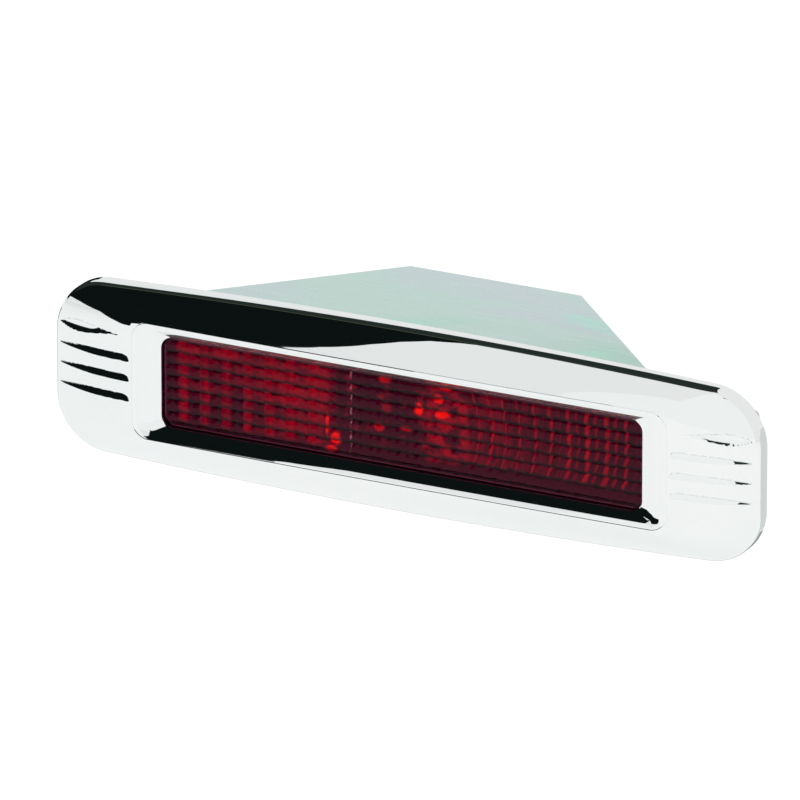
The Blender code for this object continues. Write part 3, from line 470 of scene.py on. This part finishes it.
def phenolic_material():
    shader = Shader("phenolic")
    fibres = shader.noise(500.0, 5.0, stretch=(0.2, 1.0, 1.0))
    shader.put("Base Color", shader.ramp(fibres, (0.3, (0.09, 0.04, 0.02)), (0.75, (0.20, 0.10, 0.05))))
    shader.put("Roughness", shader.ramp(fibres, (0.3, 0.35), (0.8, 0.55)))
    shader.put("Normal", shader.bump(fibres, 0.00003, 0.5))
    return shader.material


def glass_material(name, colour):
    shader = Shader(name)
    shader.set(Base_Color=(*colour, 1.0), Transmission_Weight=1.0, IOR=1.5)
    smears = shader.noise(160.0, 3.0)
    shader.put("Roughness", shader.ramp(smears, (0.4, 0.0), (0.8, 0.04)))
    return shader.material


def vitrite_material():
    shader = Shader("black_glass")
    pits = shader.noise(900.0, 4.0)
    shader.put("Base Color", shader.ramp(pits, (0.4, (0.008, 0.008, 0.012)), (0.8, (0.03, 0.03, 0.04))))
    shader.put("Roughness", shader.ramp(pits, (0.3, 0.08), (0.8, 0.25)))
    return shader.material


CHROME = chrome_material()
ZINC = zinc_material()
RED = lens_material()
STEEL = metal_material("steel", (0.56, 0.57, 0.57), 0.22, 0.38)
BRASS = metal_material("brass", (0.71, 0.52, 0.25), 0.20, 0.36)
SOLDER = metal_material("solder", (0.62, 0.62, 0.64), 0.30, 0.50)
TUNGSTEN = metal_material("tungsten", (0.30, 0.30, 0.31), 0.40, 0.55)
RUBBER = rubber_material()
PHENOLIC = phenolic_material()
CLEAR = glass_material("clear_glass", (0.97, 0.98, 0.98))
VITRITE = vitrite_material()

BY_SLOT = {
    "chrome": CHROME, "zinc": ZINC, "red_lens": RED, "steel": STEEL, "brass": BRASS, "solder": SOLDER,
    "tungsten": TUNGSTEN, "rubber": RUBBER, "phenolic": PHENOLIC, "clear_glass": CLEAR,
    "black_glass": VITRITE,
}


def dress_cad_nodes():
    """Gives each CAD node the material of its slot in place of its own."""
    for subpart in frame["record"]["subparts"]:
        materials = frame["nodes"][subpart["node"]].data.materials
        materials.clear()
        materials.append(BY_SLOT[subpart["material_slot"]])


# ---------------------------------------------------------------- making pieces

def add_piece(name, bm, material, slot, body="housing", replaces=(), sharp=None):
    mesh = bpy.data.meshes.new(name)
    bmesh.ops.recalc_face_normals(bm, faces=bm.faces)
    bm.to_mesh(mesh)
    bm.free()
    mesh.materials.append(material)
    mesh.shade_smooth()
    if sharp is not None:
        mesh.set_sharp_from_angle(angle=math.radians(sharp))
    piece = bpy.data.objects.new(name, mesh)
    bpy.context.scene.collection.objects.link(piece)
    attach(piece, body)
    if replaces:
        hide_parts(*replaces)
    return piece


def skin(bm, rings, closed=False):
    """Faces between rings of equal count; closed also joins the last ring to the first."""
    rows = [[bm.verts.new(point) for point in points] for points in rings]
    count = len(rows[0])
    following = rows[1:] + rows[:1] if closed else rows[1:]
    for row, after in zip(rows, following):
        for i in range(count):
            j = (i + 1) % count
            bm.faces.new((row[i], row[j], after[j], after[i]))
    return rows


# ---------------------------------------------------------------- bezel

HALF_LENGTH = BEZEL_HIGH.x
BOW = 0.00305
HALF_HEIGHT = BEZEL_HIGH.z - BOW
CORNER = 0.018
WALL = 0.0025

# The rounded outer edge: its arc starts at the crown's rim and ends on the side wall.
EDGE_RADIUS = 0.0041
EDGE_ANGLE = math.radians(47)
WALL_FRONT = -0.0029
EDGE_INSET = EDGE_RADIUS * (1 - math.sin(EDGE_ANGLE))
CROWN_RIM = WALL_FRONT - EDGE_RADIUS * math.cos(EDGE_ANGLE)

RECESS_X = 0.0965
RECESS_Z = 0.0201
RECESS_CORNER = 0.0062
RECESS_Y = BEZEL_LOW.y
RECESS_PLAN = 0.0008
TOP_ANGLES = (math.radians(13), math.radians(46))
END_ANGLES = (math.radians(0), math.radians(26))

# The bevel from the recess edge in to the lens opening: a fine line round the edge, then a rounded
# slope, then a steeper flat. The slope's first angle, last angle and width are given for the long
# sides and for the ends.
LINE_WIDTH = 0.00032
LINE_DEPTH = 0.00013
SLOPE_TOP = (math.radians(5), math.radians(36), 0.0023)
SLOPE_END = (math.radians(5), math.radians(25), 0.0050)
SLOPE_STEPS = 12

OPENING_X = 0.0866
OPENING_Z = 0.0156
OPENING_CORNER = 0.0042
OPENING_FRONT = -0.0083
OPENING_BACK = -0.0056
OPENING_LIP = 0.0002
LIP_DEPTH = 0.0001

# The bezel's back: its chamfered edge, the lens's seat and the hollow behind the crown.
BACK_CHAMFER = 0.0003
SEAT = (0.0915, 0.0204)
HOLLOW_INNER = (0.0985, 0.0220)
HOLLOW_OUTER = (0.1000, 0.0232)
HOLLOW_FRONT = -0.0078
RIM_FRONT = -0.0022

CORNER_STEPS = 56
LONG_STEPS = 64
SHORT_STEPS = 170
CROWN_RINGS = 150
EDGE_RINGS = 20


def outline(half_length, half_height, corner, bow=0.0):
    """Points (x, z, end) round a rounded rectangle; end is 0 on a long side and 1 on a short one."""
    quarter = []
    for i in range(LONG_STEPS // 2):
        quarter.append((2 * i / LONG_STEPS * (half_length - corner), half_height, 0.0))
    for i in range(CORNER_STEPS + 1):
        turn = math.pi / 2 * i / CORNER_STEPS
        x = half_length - corner + corner * math.sin(turn)
        z = half_height - corner + corner * math.cos(turn)
        quarter.append((x, z, math.sin(turn) ** 2))
    for i in range(1, SHORT_STEPS // 2):
        quarter.append((half_length, (half_height - corner) * (1 - 2 * i / SHORT_STEPS), 1.0))
    points = list(quarter)
    points.append((half_length, 0.0, 1.0))
    points.extend((x, -z, end) for x, z, end in reversed(quarter))
    points.extend((-x, -z, end) for x, z, end in quarter[1:])
    points.append((-half_length, 0.0, 1.0))
    points.extend((-x, z, end) for x, z, end in reversed(quarter[1:]))
    share = bow / half_height
    return [(x, z * (1 + share * (1 - (x / HALF_LENGTH) ** 2)), end) for x, z, end in points]


def flat_ring(half_length, half_height, corner, y, bow=0.0):
    return [Vector((x, y, z)) for x, z, _ in outline(half_length, half_height, corner, bow)]


def arc_share(angles, share):
    """How far along and how high, both 0 to 1, a circular arc is at a share of its turn."""
    start, end = angles
    angle = mix(start, end, share)
    along = (math.sin(angle) - math.sin(start)) / (math.sin(end) - math.sin(start))
    height = (math.cos(start) - math.cos(angle)) / (math.cos(start) - math.cos(end))
    return along, height


# Grooves in the bezel's ends: three slim ones and, above and below them, a leaf-shaped one.
GROOVE_PITCH = 0.00685
LEAF_Z = 0.0143
GROOVE_START = 0.0974
GROOVE_END = 0.1247
GROOVE_SLANT = 0.0012
LEAF_START = 0.1000
LEAF_END = 0.1250
GROOVE_HALF_WIDTH = 0.00122
LEAF_HALF_WIDTH = 0.00200
GROOVE_DEPTH = 0.00115
LEAF_DEPTH = 0.00095
GROOVE_TAPER = 0.0130
GROOVE_KEEL = 0.62
LEAF_DISH_START = 0.1070
LEAF_DISH_END = 0.1130
LEAVES = ((1, 1.0), (-1, 0.22))

# Powers that shape the grooves: how fast a slim groove narrows, how much shallower it is where it is
# narrow, where a leaf is widest, and how much shallower the leaf is where it is narrow. A slim
# groove's blunt inner end is BLUNT_LENGTH half widths long.
TAPER_POWER = 0.55
SLIM_DEPTH_POWER = 0.8
LEAF_POWER = 1.7
LEAF_DEPTH_POWER = 0.6
BLUNT_LENGTH = 1.6


def slim_half_width(x):
    if not GROOVE_START < x < GROOVE_END:
        return 0.0
    blunt = clamp((x - GROOVE_START) / (BLUNT_LENGTH * GROOVE_HALF_WIDTH))
    taper = clamp((GROOVE_END - x) / GROOVE_TAPER)
    return GROOVE_HALF_WIDTH * math.sqrt(1 - (1 - blunt) ** 2) * taper ** TAPER_POWER


def leaf_half_width(x):
    if not LEAF_START < x < LEAF_END:
        return 0.0
    share = (x - LEAF_START) / (LEAF_END - LEAF_START)
    return LEAF_HALF_WIDTH * math.sin(math.pi * share ** LEAF_POWER)


def slot_scoop(offset, half_width):
    """Depth of a slim groove: a long lower slope down to a keel, then a steep upper wall."""
    if half_width <= 0 or abs(offset) >= half_width:
        return 0.0
    share = offset / half_width
    depth = GROOVE_DEPTH * min(1.0, half_width / GROOVE_HALF_WIDTH) ** SLIM_DEPTH_POWER
    if share < GROOVE_KEEL:
        return depth * (share + 1) / (GROOVE_KEEL + 1)
    return depth * (1 - share) / (1 - GROOVE_KEEL)


def leaf_scoop(offset, half_width):
    """Depth of a leaf: a dish with a nearly flat floor."""
    if half_width <= 0 or abs(offset) >= half_width:
        return 0.0
    share = abs(offset) / half_width
    depth = LEAF_DEPTH * (half_width / LEAF_HALF_WIDTH) ** LEAF_DEPTH_POWER
    return depth * (1 - share ** 2)


def groove_depth(x, z):
    x = abs(x)
    depth = 0.0
    for row in (-1, 0, 1):
        offset = z - row * GROOVE_PITCH
        depth += slot_scoop(offset, slim_half_width(x - GROOVE_SLANT * offset / GROOVE_HALF_WIDTH))
    width = leaf_half_width(x)
    dished = clamp((x - LEAF_DISH_START) / (LEAF_DISH_END - LEAF_DISH_START))
    for side, share in LEAVES:
        offset = z - side * LEAF_Z
        depth += share * mix(slot_scoop(offset, width), leaf_scoop(offset, width), dished)
    return depth


def recess_plan(x):
    return RECESS_PLAN * min(1.0, (x / RECESS_X) ** 2)


def crown_ring(share):
    top_along, top_height = arc_share(TOP_ANGLES, share)
    end_along, end_height = arc_share(END_ANGLES, share)
    half_length = mix(RECESS_X, HALF_LENGTH - EDGE_INSET, end_along)
    half_height = mix(RECESS_Z, HALF_HEIGHT - EDGE_INSET, top_along)
    corner = mix(RECESS_CORNER, CORNER - EDGE_INSET, share)
    ring = []
    for x, z, end in outline(half_length, half_height, corner, BOW * top_along):
        fall = mix(top_height, end_height, end)
        y = mix(RECESS_Y + recess_plan(x), CROWN_RIM, fall)
        ring.append(Vector((x, y + groove_depth(x, z), z)))
    return ring


def edge_ring(share):
    """A ring of the rounded edge, from the crown's rim (0) to the side wall (1)."""
    angle = mix(EDGE_ANGLE, math.pi / 2, share)
    inset = EDGE_RADIUS * (1 - math.sin(angle))
    y = WALL_FRONT - EDGE_RADIUS * math.cos(angle)
    return flat_ring(HALF_LENGTH - inset, HALF_HEIGHT - inset, CORNER - inset, y, BOW)


def slope_step(slope, share):
    """Inset and drop at a share of a rounded slope's width."""
    start, end, width = slope
    radius = width / (math.sin(end) - math.sin(start))
    angle = math.asin(mix(math.sin(start), math.sin(end), share))
    return LINE_WIDTH + share * width, radius * (math.cos(start) - math.cos(angle))


def bevel_ring(top, end):
    """A ring of the bevel, by its inset and drop on the long sides and on the ends."""
    ring = []
    for x, z, side in outline(RECESS_X - end[0], RECESS_Z - top[0], RECESS_CORNER - top[0]):
        drop = mix(top[1], end[1], side)
        ring.append(Vector((x, RECESS_Y + recess_plan(x) + drop, z)))
    return ring


def bevel_rings():
    line = (LINE_WIDTH / 2, LINE_DEPTH)
    rings = [bevel_ring(line, line)]
    for i in range(SLOPE_STEPS):
        share = i / (SLOPE_STEPS - 1)
        rings.append(bevel_ring(slope_step(SLOPE_TOP, share), slope_step(SLOPE_END, share)))
    return rings


def inner_rings():
    """The lens opening and the bezel's back."""
    inner_wall = (HALF_LENGTH - WALL, HALF_HEIGHT - WALL, CORNER - WALL)
    lip_x, lip_z = OPENING_X + OPENING_LIP, OPENING_Z + OPENING_LIP
    return [
        flat_ring(lip_x, lip_z, OPENING_CORNER, OPENING_FRONT - LIP_DEPTH),
        flat_ring(OPENING_X, OPENING_Z, OPENING_CORNER, OPENING_FRONT + LIP_DEPTH),
        flat_ring(OPENING_X, OPENING_Z, OPENING_CORNER, OPENING_BACK),
        flat_ring(*SEAT, RECESS_CORNER, OPENING_BACK),
        flat_ring(*HOLLOW_INNER, RECESS_CORNER, HOLLOW_FRONT),
        flat_ring(*HOLLOW_OUTER, RECESS_CORNER, HOLLOW_FRONT),
        flat_ring(*inner_wall, RIM_FRONT, BOW),
        flat_ring(*inner_wall, 0.0, BOW),
    ]


def make_bezel():
    rings = [
        flat_ring(HALF_LENGTH - BACK_CHAMFER, HALF_HEIGHT - BACK_CHAMFER, CORNER, 0.0, BOW),
        flat_ring(HALF_LENGTH, HALF_HEIGHT, CORNER, -BACK_CHAMFER, BOW),
    ]
    rings.extend(edge_ring(1 - i / EDGE_RINGS) for i in range(EDGE_RINGS))
    rings.extend(crown_ring(1 - i / CROWN_RINGS) for i in range(CROWN_RINGS + 1))
    rings.extend(bevel_rings())
    rings.extend(inner_rings())
    bm = bmesh.new()
    skin(bm, rings, closed=True)
    add_piece("bezel_chromed", bm, CHROME, "chrome", replaces=["bezel"], sharp=24)


# ---------------------------------------------------------------- lens

LENS_GAP = 0.0003
LENS_BODY_X = OPENING_X - LENS_GAP
LENS_BODY_Z = OPENING_Z - LENS_GAP
LENS_CORNER = OPENING_CORNER - LENS_GAP
LENS_FRONT = LENS_LOW.y
LENS_BACK = LENS_HIGH.y
FLANGE_THICKNESS = 0.002
FLANGE_WIDTH = LENS_HIGH.x - LENS_BODY_X
RIB_HEIGHT = 0.0005
RIB_POWER = 0.9
RIB_WAVE = 0.00012
RIB_WAVE_LENGTHS = (0.00115, 0.00053)
RIB_WAVE_SKEW = 40
FLUTE_HEIGHT = 0.00008
RIM_FILLET = 0.0006
RIM_STEPS = (0.0, 0.04, 0.16, 0.36, 0.64, 1.0)
LENS_STEPS_X = 420
LENS_STEPS_Z = 100


def lens_border(x, z):
    """Distance in from the lens's outline."""
    over_x = abs(x) - (LENS_BODY_X - LENS_CORNER)
    over_z = abs(z) - (LENS_BODY_Z - LENS_CORNER)
    outside = math.hypot(max(over_x, 0.0), max(over_z, 0.0))
    return LENS_CORNER - outside - min(max(over_x, over_z), 0.0)


def flute_phase(x, z):
    if x < 0:
        return (LEFT_FLUTE_EDGE_MM + MM_PER_METRE * x) / LEFT_FLUTE_MM
    reach = MM_PER_METRE * math.hypot(x, z)
    growth = 1 + RIGHT_FLUTE_GROWTH * (reach - RIGHT_FLUTE_EDGE_MM)
    return RIGHT_FLUTE_COUNT * math.log(max(LEAST_GROWTH, growth))


def lens_front(x, z):
    """Depth of the lens's front: pillow ribs, shallow flutes and a rounded rim."""
    slow = math.sin(x / RIB_WAVE_LENGTHS[0])
    quick = math.sin(x / RIB_WAVE_LENGTHS[1] + RIB_WAVE_SKEW * z)
    wave = RIB_WAVE * (slow + quick)
    turn = math.pi * MM_PER_METRE * (z + wave) / RIB_MM
    rib = RIB_HEIGHT * (1 - abs(math.cos(turn)) ** RIB_POWER)
    flute = FLUTE_HEIGHT * math.cos(math.pi * flute_phase(x, z)) ** 2
    border = lens_border(x, z)
    fade = clamp(border / (2 * RIM_FILLET))
    inset = clamp(1 - border / RIM_FILLET)
    rim = RIM_FILLET * (1 - math.sqrt(max(0.0, 1 - inset ** 2)))
    return LENS_FRONT + (rib + flute) * fade + rim


def spread(half, steps):
    """Stations from -half to half, close together at the rounded rim."""
    rim = [RIM_FILLET * step for step in RIM_STEPS]
    inner = half - RIM_FILLET
    middle = [mix(-inner, inner, i / steps) for i in range(1, steps)]
    return [-half + step for step in rim] + middle + [half - step for step in reversed(rim)]


def make_lens():
    bm = bmesh.new()
    rows = []
    for z in spread(LENS_BODY_Z, LENS_STEPS_Z):
        over = max(0.0, abs(z) - (LENS_BODY_Z - LENS_CORNER))
        half = LENS_BODY_X - LENS_CORNER + math.sqrt(max(0.0, LENS_CORNER ** 2 - over ** 2))
        rows.append([bm.verts.new((x, lens_front(x, z), z)) for x in spread(half, LENS_STEPS_X)])
    for row, above in zip(rows, rows[1:]):
        for i in range(len(row) - 1):
            bm.faces.new((row[i], row[i + 1], above[i + 1], above[i]))
    flange_front = LENS_BACK - FLANGE_THICKNESS
    flange_corner = LENS_CORNER + FLANGE_WIDTH
    sides = skin(bm, [
        flat_ring(LENS_BODY_X, LENS_BODY_Z, LENS_CORNER, LENS_FRONT + RIM_FILLET),
        flat_ring(LENS_BODY_X, LENS_BODY_Z, LENS_CORNER, flange_front),
        flat_ring(LENS_BODY_X + FLANGE_WIDTH, LENS_BODY_Z + FLANGE_WIDTH, flange_corner, flange_front),
        flat_ring(LENS_BODY_X + FLANGE_WIDTH, LENS_BODY_Z + FLANGE_WIDTH, flange_corner, LENS_BACK),
    ])
    bm.faces.new(sides[-1])
    add_piece("lens_fluted", bm, RED, "red_lens", replaces=["lens"], sharp=55)


# ---------------------------------------------------------------- turned pieces: spring, globe, studs

ACROSS = Vector((1.0, 0.0, 0.0))
ALONG = Vector((0.0, 1.0, 0.0))
UP = Vector((0.0, 0.0, 1.0))

SPRING_WIRE = 0.0004
SPRING_TURNS = 4
CLOSED_TURNS = 0.6
STEPS_PER_TURN = 40
WIRE_SIDES = 12

GLOBE_ANGLE = math.radians(140)
GLOBE_STEPS = 56
GLOBE_SIDES = 96
NECK_STEPS = 12
NECK_RADIUS = 0.0064
GLASS_WALL = 0.0008
POLE_RADIUS = 0.000001

STUDS = 4
THREAD_PITCH = 0.0008
THREAD_DEPTH = 0.00045
THREAD_STEPS = 10
THREAD_SIDES = 40
STUD_CHAMFER = 0.0008


def circle(middle, first, second, radius, sides):
    """Points round a circle that lies in the plane of two directions."""
    angles = [2 * math.pi * i / sides for i in range(sides)]
    return [middle + radius * (math.cos(a) * first + math.sin(a) * second) for a in angles]


def add_solid(name, rings, material, slot, **options):
    """A piece from rings, with a flat face at each end."""
    bm = bmesh.new()
    rows = skin(bm, rings)
    bm.faces.new(rows[0])
    bm.faces.new(rows[-1])
    return add_piece(name, bm, material, slot, **options)


def make_spring():
    """The coil behind the contact plate, built at one length; the real one shortens as the bulb is
    pushed in.
    """
    low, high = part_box("contact_spring")
    coil_radius = (high.x - low.x) / 2 - SPRING_WIRE
    start, end = low.y + SPRING_WIRE, high.y - SPRING_WIRE
    centre = (low + high) / 2
    rings = []
    for i in range(SPRING_TURNS * STEPS_PER_TURN + 1):
        turns = i / STEPS_PER_TURN
        outward = math.cos(2 * math.pi * turns) * ACROSS + math.sin(2 * math.pi * turns) * UP
        share = clamp((turns - CLOSED_TURNS) / (SPRING_TURNS - 2 * CLOSED_TURNS))
        middle = Vector((centre.x, mix(start, end, share), centre.z)) + coil_radius * outward
        rings.append(circle(middle, outward, ALONG, SPRING_WIRE, WIRE_SIDES))
    spring = add_solid("contact_coil_spring", rings, STEEL, "steel", replaces=["contact_spring"])
    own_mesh(spring)


def globe_profile(centre_y, radius, neck_radius, back):
    """Points (y, radius) from the front of the globe, round it and along the neck."""
    points = []
    for i in range(GLOBE_STEPS + 1):
        angle = GLOBE_ANGLE * i / GLOBE_STEPS
        points.append((centre_y - radius * math.cos(angle), max(POLE_RADIUS, radius * math.sin(angle))))
    start, shoulder = points[-1]
    narrowing = shoulder - neck_radius
    length = 2 * narrowing * math.tan(math.pi - GLOBE_ANGLE)
    for i in range(1, NECK_STEPS + 1):
        share = i / NECK_STEPS
        points.append((start + share * length, neck_radius + narrowing * (1 - share) ** 2))
    points.append((back, neck_radius))
    return points


def make_globe():
    low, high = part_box("bulb_glass")
    centre = (low + high) / 2
    radius = (high.x - low.x) / 2
    outside = globe_profile(low.y + radius, radius, NECK_RADIUS, high.y)
    inside = globe_profile(low.y + radius, radius - GLASS_WALL, NECK_RADIUS - GLASS_WALL, high.y)
    rings = []
    for y, ring_radius in outside + inside[::-1]:
        rings.append(circle(Vector((centre.x, y, centre.z)), ACROSS, UP, ring_radius, GLOBE_SIDES))
    add_solid("bulb_globe", rings, CLEAR, "clear_glass", body="bulb", replaces=["bulb_glass"], sharp=50)


def thread_depth(turns):
    """Depth below the crest of a pointed thread, by the turns from a crest."""
    return THREAD_DEPTH * (1 - abs(1 - 2 * (turns % 1.0)))


def make_stud(name, number):
    low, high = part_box(name)
    centre = (low + high) / 2
    radius = (high.x - low.x) / 2
    steps = round(THREAD_STEPS * (high.y - low.y) / THREAD_PITCH)
    rings = []
    directions = circle(Vector(), ACROSS, UP, 1.0, THREAD_SIDES)
    for step in range(steps + 1):
        y = mix(low.y, high.y, step / steps)
        middle = Vector((centre.x, y, centre.z))
        taper = max(0.0, STUD_CHAMFER - (high.y - y))
        ring = []
        for i, outward in enumerate(directions):
            cut = max(taper, thread_depth(step / THREAD_STEPS - i / THREAD_SIDES))
            ring.append(middle + (radius - cut) * outward)
        rings.append(ring)
    add_solid(f"stud_thread_{number}", rings, STEEL, "steel", replaces=[name], sharp=30)


def make_studs():
    for number in range(1, STUDS + 1):
        make_stud(f"mounting_stud_{number}", number)


# ---------------------------------------------------------------- studio and camera

def emission_material(name, colour, strength=1.0):
    material = bpy.data.materials.new(name)
    material.use_nodes = True
    tree = material.node_tree
    tree.nodes.clear()
    output = tree.nodes.new("ShaderNodeOutputMaterial")
    glow = tree.nodes.new("ShaderNodeEmission")
    glow.inputs["Color"].default_value = (*colour, 1.0)
    glow.inputs["Strength"].default_value = strength
    tree.links.new(glow.outputs["Emission"], output.inputs["Surface"])
    return material


def stage_sheet(name, corners, material):
    mesh = bpy.data.meshes.new(name)
    mesh.from_pydata([Vector(corner) for corner in corners], [], [range(len(corners))])
    mesh.materials.append(material)
    sheet = bpy.data.objects.new(name, mesh)
    bpy.context.scene.collection.objects.link(sheet)
    return sheet


def reflection_card(name, corners, material):
    """A card that only shows in reflections."""
    card = stage_sheet(name, corners, material)
    card.visible_camera = False
    card.visible_diffuse = False
    card.visible_shadow = False
    card.visible_transmission = False
    return card


FLOOR_Z = -0.30
FLOOR_HALF = 9.0
SKY_STRENGTH = 0.93
LAMP_HEIGHT = 4.0
LAMP_HALF = 3.0
LAMP_STRENGTH = 1.55


def level_square(half, height):
    return [(x * half, y * half, height) for x, y in ((-1, -1), (1, -1), (1, 1), (-1, 1))]


def make_floor():
    floor = Shader("floor")
    floor.set(Roughness=0.9)
    floor.put("Base Color", floor.ramp(floor.noise(3.0, 2.0), (0.3, 0.90), (0.7, 0.92)))
    stage_sheet("floor", level_square(FLOOR_HALF, FLOOR_Z), floor.material)


def make_lamp():
    """A large soft box overhead that lights the floor and every matt surface."""
    lamp = emission_material("soft_box", (1.0, 1.0, 1.0), LAMP_STRENGTH)
    sheet = stage_sheet("soft_box", level_square(LAMP_HALF, LAMP_HEIGHT), lamp)
    sheet.visible_camera = False
    sheet.visible_glossy = False


def make_world():
    world = bpy.data.worlds.new("studio")
    world.use_nodes = True
    sky = world.node_tree.nodes["Background"]
    sky.inputs["Color"].default_value = (1.0, 1.0, 1.0, 1.0)
    sky.inputs["Strength"].default_value = SKY_STRENGTH
    bpy.context.scene.world = world


# Cards that the chrome mirrors. A level card is points (x, y); an upright one is points (y, z), or
# its span along X, its place along Y and its span along Z.
CEILING = 0.088
CEILING_LEFT = -0.350
CEILING_FRONT = (
    (-0.350, -0.640), (-0.298, -0.538), (-0.163, -0.278), (-0.110, -0.183), (-0.066, -0.107),
    (-0.040, -0.067), (-0.023, -0.046), (-0.009, -0.036), (0.004, -0.030), (0.015, -0.027),
    (0.060, -0.028), (0.080, -0.027), (0.104, -0.014),
)
CEILING_SEAM = (
    (0.104, -0.014), (0.0, -0.024), (-0.140, -0.024), (-0.350, -0.024),
)
CEILING_REAR = (
    (0.104, -0.014), (0.093, 0.060), (0.080, 0.098), (0.057, 0.098), (0.042, 0.092), (0.030, 0.078),
    (0.020, 0.066), (0.006, 0.055), (-0.026, 0.045), (-0.056, 0.033), (-0.090, 0.025),
    (-0.123, 0.016), (-0.140, 0.016), (-0.160, 0.024), (-0.200, 0.060), (-0.240, 0.106),
    (-0.350, 0.320),
)
SEAM_WIDTH = 0.006
LEFT_WALL = (
    (0.600, 0.088), (-0.640, 0.088), (-0.631, 0.056), (-0.617, -0.110), (-0.430, -0.118),
    (-0.410, -0.096), (-0.352, -0.048), (-0.274, 0.004), (-0.182, 0.028), (-0.140, 0.036),
    (0.100, 0.030), (0.300, -0.060), (0.600, -0.250),
)
GROOVE_CARD = (
    (0.1065, -0.064), (0.1210, -0.064), (0.1190, -0.098), (0.1085, -0.098),
)
VISOR = 0.0195
VISOR_CARD = (
    (-0.105, -0.013), (0.070, -0.013), (0.070, -0.085), (-0.127, -0.085),
)
BACK_CARD = ((-1.2, 0.15), 0.25, (-0.29, -0.06))
END_CARD = ((0.16, 0.9), 0.25, (-0.29, 0.03))
FRONT_RIGHT_CARD = ((-0.20, 0.32), -0.60, (-0.10, 0.80))

BLACK = (0.0044, 0.0068, 0.0068)
DEEP_GREEN = (0.021, 0.029, 0.026)
OLIVE = (0.085, 0.095, 0.060)
GREY = (0.33, 0.35, 0.35)
PALE = (0.72, 0.76, 0.75)
WHITE = (1.0, 1.01, 1.01)


def level_card(name, points, height, material):
    reflection_card(name, [(x, y, height) for x, y in points], material)


def upright_card(name, place, material):
    (left, right), y, (bottom, top) = place
    corners = [(left, y, bottom), (right, y, bottom), (right, y, top), (left, y, top)]
    reflection_card(name, corners, material)


def make_cards():
    """The ceiling is black in front and deep green behind, with an olive seam between."""
    black = emission_material("black_card", BLACK)
    deep_green = emission_material("deep_green_card", DEEP_GREEN)
    seam_rear = [(x, y + SEAM_WIDTH) for x, y in reversed(CEILING_SEAM[1:])]
    level_card("ceiling_front_card", CEILING_FRONT + CEILING_SEAM[1:], CEILING, black)
    level_card("ceiling_rear_card", list(CEILING_REAR) + seam_rear, CEILING, deep_green)
    olive = emission_material("olive_card", OLIVE)
    level_card("ceiling_seam_card", list(CEILING_SEAM) + seam_rear, CEILING, olive)
    reflection_card("left_wall_card", [(CEILING_LEFT, y, z) for y, z in LEFT_WALL], black)
    upright_card("back_card", BACK_CARD, emission_material("grey_card", GREY))
    upright_card("end_card", END_CARD, emission_material("pale_card", PALE))
    level_card("groove_card", GROOVE_CARD, CEILING, deep_green)
    upright_card("front_right_card", FRONT_RIGHT_CARD, emission_material("white_card", WHITE))
    level_card("visor_card", VISOR_CARD, VISOR, black)


CAMERA_AZIMUTH = math.radians(27.13)
CAMERA_ELEVATION = math.radians(20.29)
CAMERA_DISTANCE = 5.0
FOCAL_LENGTH = 700.875
SENSOR = 36.0
AIM_RIGHT = -0.00371
AIM_UP = 0.00512
CLIP_START = 0.1
CLIP_END = 60.0


def make_camera():
    turn, rise = CAMERA_AZIMUTH, CAMERA_ELEVATION
    back = Vector((math.sin(turn) * math.cos(rise), -math.cos(turn) * math.cos(rise), math.sin(rise)))
    right = Vector((math.cos(turn), math.sin(turn), 0.0))
    up = back.cross(right)
    data = bpy.data.cameras.new("camera")
    data.sensor_width = SENSOR
    data.lens = FOCAL_LENGTH
    data.clip_start = CLIP_START
    data.clip_end = CLIP_END
    camera = bpy.data.objects.new("camera", data)
    bpy.context.scene.collection.objects.link(camera)
    aim = right * AIM_RIGHT + up * AIM_UP
    axes = Matrix((right, up, back)).transposed().to_4x4()
    camera.matrix_world = Matrix.Translation(aim + back * CAMERA_DISTANCE) @ axes
    bpy.context.scene.camera = camera


def set_look():
    scene = bpy.context.scene
    scene.view_settings.view_transform = "Standard"
    scene.view_settings.look = "None"


make_camera()
make_world()
make_floor()
make_lamp()
make_cards()
set_look()
dress_cad_nodes()
make_bezel()
make_lens()
make_spring()
make_globe()
make_studs()
